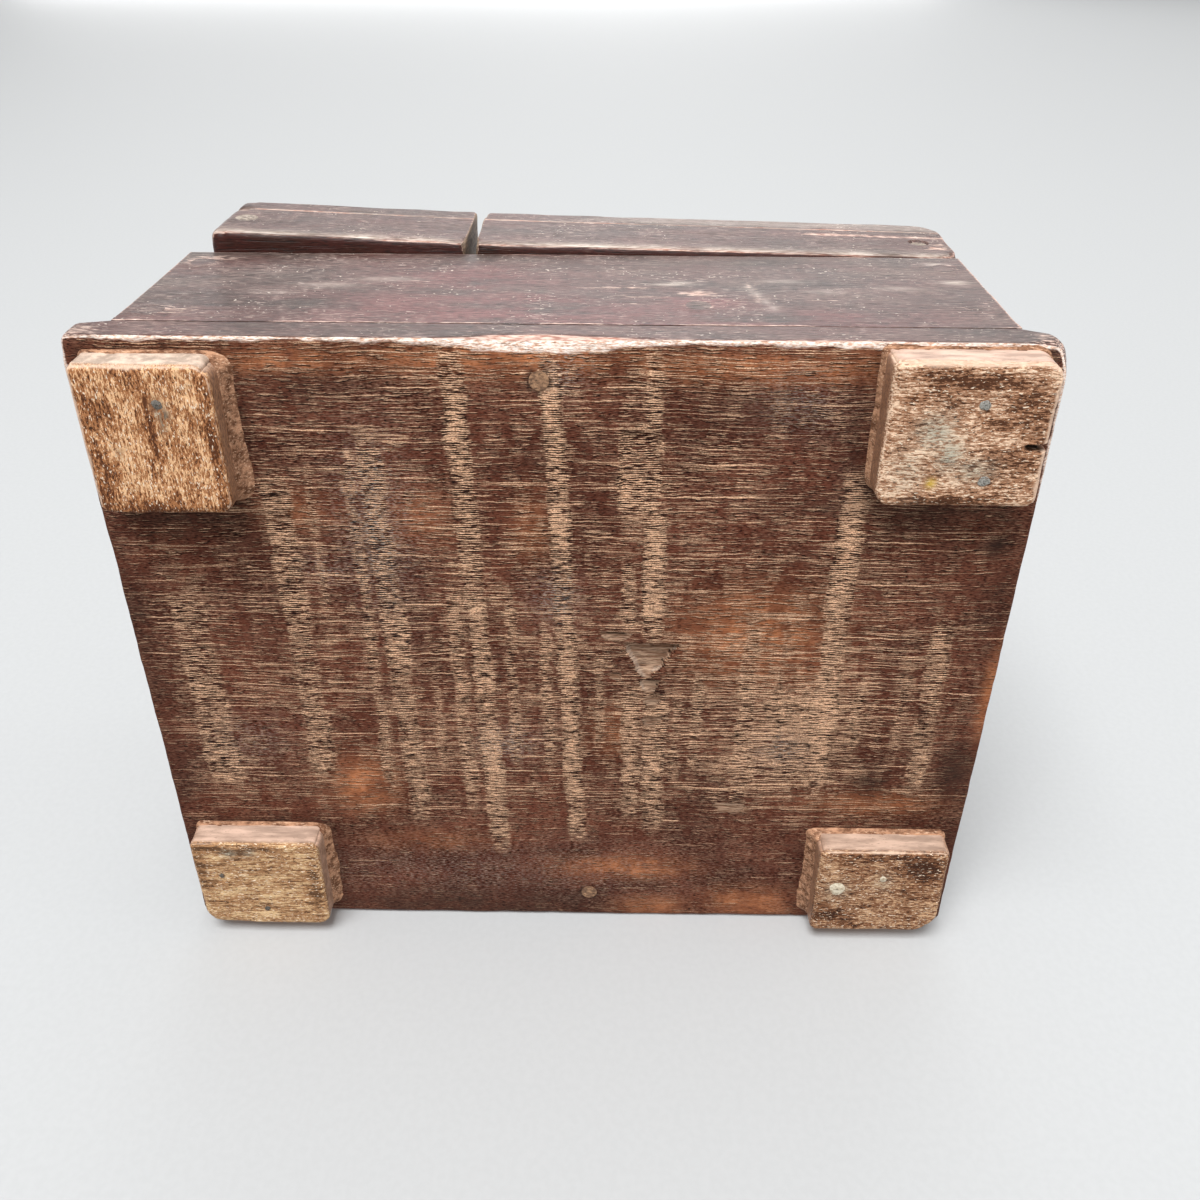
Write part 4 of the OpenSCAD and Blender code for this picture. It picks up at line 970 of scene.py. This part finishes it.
def on_leaf(p, corner, turn):
    """Carries points from a leaf's own corner to their place: a turn about Z, then a shift."""
    c, s = np.cos(turn), np.sin(turn)
    return corner + p @ np.array([[c, s, 0], [-s, c, 0], [0, 0, 1]])


def lid_radius(p):
    """Rounding of a rail: nearly two millimetres along its lower outer edge, next to none under the top."""
    side = np.minimum(-p[:, 1], p[:, 1] + leaf_w)
    r = 0.2 + 0.5 * rise(p[:, 2], 20, 16) + 1.4 * rise(p[:, 2], 6, 3) * rise(side, 5, 3)
    return r + 0.2 * rise(p[:, 2], 20, 16) * lattice_noise(p, (7, 7, 7), 41)


def top_radius(p):
    """A top board: long upper edges rubbed round, the other edges nearly sharp."""
    side = np.minimum(-p[:, 1], p[:, 1] + leaf_w)
    upper = rise(p[:, 2], rail_h + 1.5, rail_h + 5) * rise(side, 8, 4)
    return 0.4 + upper * (1.3 + 0.5 * lattice_noise(p, (9, 30, 30), 42))


def lid_relief(p):
    """Shallow waves and dents of the lid, always inwards."""
    wave = 1 + lattice_noise(p, (35, 14, 12), 43)
    dent = 1 + lattice_noise(p, (4, 4, 3), 44)
    return -(0.06 * wave + 0.04 * dent + 0.02)


def lid_marks(flat, gap, turning):
    """Wear and a painted highlight of a lid piece: a soft pale band along the lower outer edge, which is a
    painted highlight, a thin pale seam under the top board, the underside dark red; near the turning end red
    streaks, a bare strip along the top board's edge and a pale place below the pin."""
    side = np.minimum(-flat[:, 1], flat[:, 1] + leaf_w) < 3
    x, z = flat[:, 0], flat[:, 2]
    streak = turning * np.exp(-(z - 18.6 - 0.012 * x) ** 2) * rise(x, 58, 34)
    streak = streak * (0.75 + 0.4 * lattice_noise(flat, (11, 9, 9), 45))
    strip = turning * rise(z, 25, 26.5) * rise(x, 118, 66)
    worn_low = turning * spots(flat[:, [0, 2]], [(4.5, 8, 4, 2.4, 0.8), (3, 11.5, 3, 2.0, 0.6)])
    seam = 0.28 * np.exp(-((z - 24.4) / 0.5) ** 2) + 0.26 * strip
    # Painted highlight: pale fading up from the rails' rounded lower outer edge.
    low = np.exp(-(np.maximum(z - 0.9, 0) / 1.5)) * (0.62 + 0.45 * lattice_noise(flat, (9, 9, 9), 46))
    return {"edge": gap + 0.2 + 0.8 * (1 - side), "pale": side * np.maximum(seam, low) * (z > 0.35),
            "rubbed": side * np.maximum(1.05 * streak, worn_low),
            "red": np.maximum(side * np.maximum(streak, 0.12), 1.6 * (z < 0.6))}


def sawn_finish():
    """Sawn end grain in the cut between the leaves: brown, with upright saw scratches and dirt."""
    mat, shader, at = begin_finish("sawn_end_grain")
    scratch = field(at, (3, 0.5, 7), 3.0, 0.65)
    cloud = field(at, (5, 5, 4), 3.0, 0.6, shift=6)
    colour = tone(ramp(scratch, 0.34, 0.66), (0.115, 0.070, 0.042), (0.36, 0.25, 0.17))
    colour = tone(ramp(cloud, 0.50, 0.72, 0, 0.75), colour, (0.06, 0.038, 0.026))
    feed(shader, {"Base Color": colour, "Roughness": times_plus(scratch, 0.2, 0.55),
                  "Normal": bump(scratch, 0.25)})
    return mat


sawn_wood = sawn_finish()
lid_lacquer = lacquer_finish("dull_lid_lacquer", 0, gloss=0.22)


def lid_piece(node, leaf, points, quads, flat, gap):
    """A piece of a leaf, which is given as its body, corner, turn, sawn end, and 1 if it has the pins."""
    body, corner, turn, cut, turning = leaf
    at_cut = np.abs(flat[quads, 0] - cut).max(axis=1) < on_face
    wood_piece("worn_" + node, on_leaf(points, corner, turn), quads, body, [node],
               lid_lacquer, lid_marks(flat, gap, turning), sawn_wood, at_cut)


rear_leaf = ("rear_leaf", leaf_corner, rear_turn, rear_l, 1)
heel, rail_end_r = 8.0, 13.6
points, *rest = worn_board((0, -leaf_w, rail_h), (rear_l, 0, leaf_h), (1.6, 1.8, 1.01), (2, 5, 2), top_radius,
                           lid_relief, ([(0, 9)], (), ()), (0.8, 0.8, 0.8))
points = turned_corner(points, np.array([heel, leaf_h - heel]), np.array([-heel, heel]), heel)
lid_piece("rear_top", rear_leaf, points, *rest)

for node, outer, right, pin_x in (("rear_right_rail", 0.0, 0.0, 8.0),
                                  ("rear_left_rail", -leaf_w, rail_t - leaf_w, 4.12)):
    pin_at = np.array([pin_x, 13.7])

    def rail_relief(p):
        """A rear rail: waves, and the open end of its pin hole in the outer face."""
        d = np.hypot(p[:, 0] - pin_at[0], p[:, 2] - pin_at[1])
        hole = rise(d, 2.75, 2.3) * (np.abs(p[:, 1] - outer) < on_face)
        return lid_relief(p) - 0.9 * hole

    points, *rest = worn_board(
        (0, right - rail_t, 0), (rear_l, right, rail_h), (1.4, 2.5, 1.21), (2, 2, 2), lid_radius, rail_relief,
        ([(pin_x - 3.5, pin_x + 3.5)], (), [(10.2, 17.2)]), (0.351, 0.35, 0.35))
    lid_piece(node, rear_leaf, turned_corner(points, pin_at, -pin_at, rail_end_r), *rest)

# Mirror under the rear leaf: old silvered glass, laid against the top board, clouded and spotted with age.
# Four beads of plain wood hold it, nailed to the top board from below.


def mirror_finish():
    """Silvered glass with faint clouding and dark spots where the silver has gone at the edges."""
    mat, shader, at = begin_finish("old_silvered_glass")
    cloud = field(at, (22, 22, 22), 4.0, 0.6)
    spot = field(at, (1.6, 1.6, 1.6), 3.0, 0.6, shift=9)
    often = times_plus(ramp(cloud, 0.45, 0.75), 0.14, spot)
    gone = ramp(often, 0.72, 0.78)
    colour = tone(ramp(cloud, 0.3, 0.7), (0.80, 0.83, 0.83), (0.68, 0.71, 0.70))
    feed(shader, {"Base Color": tone(gone, colour, (0.06, 0.055, 0.05)), "Metallic": 1.0,
                  "Roughness": times_plus(ramp(cloud, 0.4, 0.8), 0.12, 0.03)})
    return mat


def iron_finish():
    """Dull iron: grey with brown rust in patches and a rough skin."""
    mat, shader, at = begin_finish("rusty_iron")
    rust = field(at, (1.2, 1.2, 1.2), 4.0, 0.65)
    skin = field(at, (0.3, 0.3, 0.3), shift=3)
    colour = tone(ramp(skin, 0.3, 0.7), (0.14, 0.135, 0.13), (0.36, 0.35, 0.33))
    colour = tone(ramp(rust, 0.55, 0.72, 0, 0.85), colour, (0.13, 0.062, 0.035))
    feed(shader, {"Base Color": colour, "Roughness": times_plus(rust, 0.4, 0.3),
                  "Metallic": ramp(rust, 0.7, 0.5, 0.1, 0.75),
                  "Normal": bump(times_plus(skin, 0.5, rust), 0.15)})
    return mat


iron = iron_finish()
dress(mirror_finish(), "mirror_glass")
dress(inner_wood, "front_bead", "rear_bead", "right_bead", "left_bead")
dress(iron, "bead_nails")

# Front leaf of the lid: a shorter top board on two side rails and an end rail, pegged at the corners.
# It hangs on the rear leaf by two hinges and lies a little more askew.
front_l = 67.5
front_corner = on_leaf(np.array([[rear_l + saw_cut, 0, 0]]), leaf_corner, rear_turn)[0]
front_turn = np.radians(2.2)
front_leaf = ("front_leaf", front_corner, front_turn, 0.0, 0)


def free_end(radius):
    """A rounding that grows towards the leaf's free end."""
    return lambda p: np.maximum(radius(p), 2.8 * rise(p[:, 0], front_l - 7, front_l - 3.5))


lid_piece("front_top", front_leaf, *worn_board(
    (0, -leaf_w, rail_h), (front_l, 0, leaf_h), (1.6, 1.8, 1.01), (2, 5, 2), free_end(top_radius),
    lid_relief))

rail_peg = [(61.0, 14.0)]
for node, outer, right in (("front_right_rail", 0.0, 0.0), ("front_left_rail", -leaf_w, rail_t - leaf_w)):

    def pegged_relief(p):
        """A front rail: waves, and its outer face level with the peg end."""
        out = np.abs(p[:, 1] - outer) < on_face
        return seat_pegs(p, lid_relief(p), out, rail_peg)

    lid_piece(node, front_leaf, *worn_board(
        (0, right - rail_t, 0), (front_l, right, rail_h), (1.4, 2.5, 1.2), (2, 2, 2), free_end(lid_radius),
        pegged_relief, ([(56.5, 65.5)], (), [(9.5, 18.5)]), (0.5, 0.5, 0.5)))

points, quads, flat, gap = worn_board((front_l - rail_t, rail_t - leaf_w, 0), (front_l, -rail_t, rail_h),
                                      (1.51, 2.01, 1.5), (2, 2, 2), lid_radius, lid_relief)
wood_piece("worn_front_end_rail", on_leaf(points, front_corner, front_turn), quads, "front_leaf",
           ["front_end_rail"], end_lacquer, {"edge": gap, "rubbed": 0.0, "red": 0.4})

# Leaf hinges: two small butt hinges of tarnished sheet brass, laid on top of the lid over the saw cut.
# Each turns on an iron wire pin and is held by four iron nails.


def brass_finish():
    """Tarnished brass: brown film over dull yellow, brighter where it is rubbed."""
    mat, shader, at = begin_finish("tarnished_brass")
    film = field(at, (3, 3, 3), 4.0, 0.65)
    fine = field(at, (0.4, 0.4, 0.4), shift=7)
    colour = tone(ramp(film, 0.35, 0.68), (0.42, 0.29, 0.115), (0.17, 0.11, 0.06))
    colour = tone(ramp(fine, 0.6, 0.75, 0, 0.6), colour, (0.10, 0.085, 0.06))
    feed(shader, {"Base Color": colour, "Metallic": ramp(film, 0.7, 0.3, 0.55, 0.95),
                  "Roughness": times_plus(film, 0.35, 0.28),
                  "Normal": bump(times_plus(fine, 0.6, film), 0.08)})
    return mat


dress(brass_finish(), "right_hinge_rear_plate", "right_hinge_front_plate", "left_hinge_rear_plate",
      "left_hinge_front_plate")
dress(iron, "right_hinge_pin", "left_hinge_pin", "rear_plate_nails", "front_plate_nails")

# Studio: the box lies on its left side on a pale table, as it was photographed, under soft lamps.
# A second pale floor lies under its feet, for looking at it upright; each shows from its upper side only.


def paper_finish(name, colour):
    """Plain pale paper, seen from the front only."""
    mat, shader, at = begin_finish(name)
    fine = field(at, (2, 2, 2))
    feed(shader, {"Base Color": tone(ramp(fine, 0.3, 0.7), colour, scaled(colour, 0.97)), "Roughness": 0.7})
    back = put(at, "NewGeometry", {}).outputs["Backfacing"]
    clear = put(at, "BsdfTransparent", {}).outputs[0]
    both = put(at, "MixShader", {0: back, 1: shader.outputs[0], 2: clear}).outputs[0]
    feed(mat.node_tree.nodes["Material Output"], {"Surface": both})
    return mat


def paper(name, corners, colour):
    """A flat sheet of the stage; it lights and shades nothing itself."""
    mesh = bpy.data.meshes.new(name)
    mesh.from_pydata([tuple(c) for c in corners], [], [(0, 1, 2, 3)])
    mesh.materials.append(paper_finish(name + "_paper", colour))
    sheet = bpy.data.objects.new(name, mesh)
    bpy.context.scene.collection.objects.link(sheet)
    sheet.visible_shadow = sheet.visible_diffuse = sheet.visible_glossy = False


pale = (0.48, 0.49, 0.495)
far, table_y, floor_z = 6.0, -91.9 * mm, -0.1 * mm
paper("table", [(-far, table_y, -far), (-far, table_y, far), (far, table_y, far), (far, table_y, -far)], pale)
paper("floor", [(-far, -far, floor_z), (far, -far, floor_z), (far, far, floor_z), (-far, far, floor_z)], pale)

world = bpy.data.worlds.new("pale_studio")
world.use_nodes = True
feed(world.node_tree.nodes["Background"], {"Color": (1.0, 1.0, 1.0), "Strength": 0.5})
bpy.context.scene.world = world


def set_up(name, data, right, up, back, place):
    """A lamp or camera as an object, by its own three axes and its place."""
    stand = bpy.data.objects.new(name, data)
    stand.matrix_world = Matrix([*np.column_stack([right, up, back, place]).tolist(), [0, 0, 0, 1]])
    bpy.context.scene.collection.objects.link(stand)
    return stand


def lamp(name, place, target, size, radiance):
    """A square soft lamp facing its target; its power follows from its radiance and area."""
    data = bpy.data.lights.new(name, "AREA")
    data.size = size
    data.energy = np.pi * size * size * radiance
    back = np.array(place) - np.array(target)
    back = back / np.linalg.norm(back)
    right = np.cross([0.0, 0.6, 0.8], back)
    right = right / np.linalg.norm(right)
    set_up(name, data, right, np.cross(back, right), back, place).visible_camera = False


middle = (0.0, -0.005, 0.05)
lamp("overhead_lamp", (0.5, 3.1, -1.2), middle, 1.8, 14.0)
lamp("back_lamp", (-0.3, 1.7, 3.0), middle, 3.0, 1.3)
lamp("front_lamp", (-1.2, 1.0, -3.2), middle, 2.6, 1.0)
lamp("top_lamp", (0.4, -0.9, 3.0), middle, 2.5, 3.0)
lamp("left_lamp", (0.9, -3.0, 1.2), middle, 2.4, 1.2)
lamp("rear_lamp", (-3.0, 0.6, 0.1), middle, 2.4, 1.4)

# Camera: its lens, its three axes and its place were fitted to the photograph's straight edges.
# It looks down at the underside of the box, with the lid at the far end.
camera = bpy.data.cameras.new("camera")
camera.sensor_width = 36.0
camera.lens = 33.959
camera.clip_start = 0.01
bpy.context.scene.camera = set_up(
    "camera", camera, (-0.99989956, 0.00481872, 0.01332816), (0.01122551, 0.84335047, 0.53724667),
    (-0.00865147, 0.53734232, -0.84331986), (-0.01063281, 0.16979928, -0.22668551))
bpy.context.scene.view_settings.view_transform = "Standard"
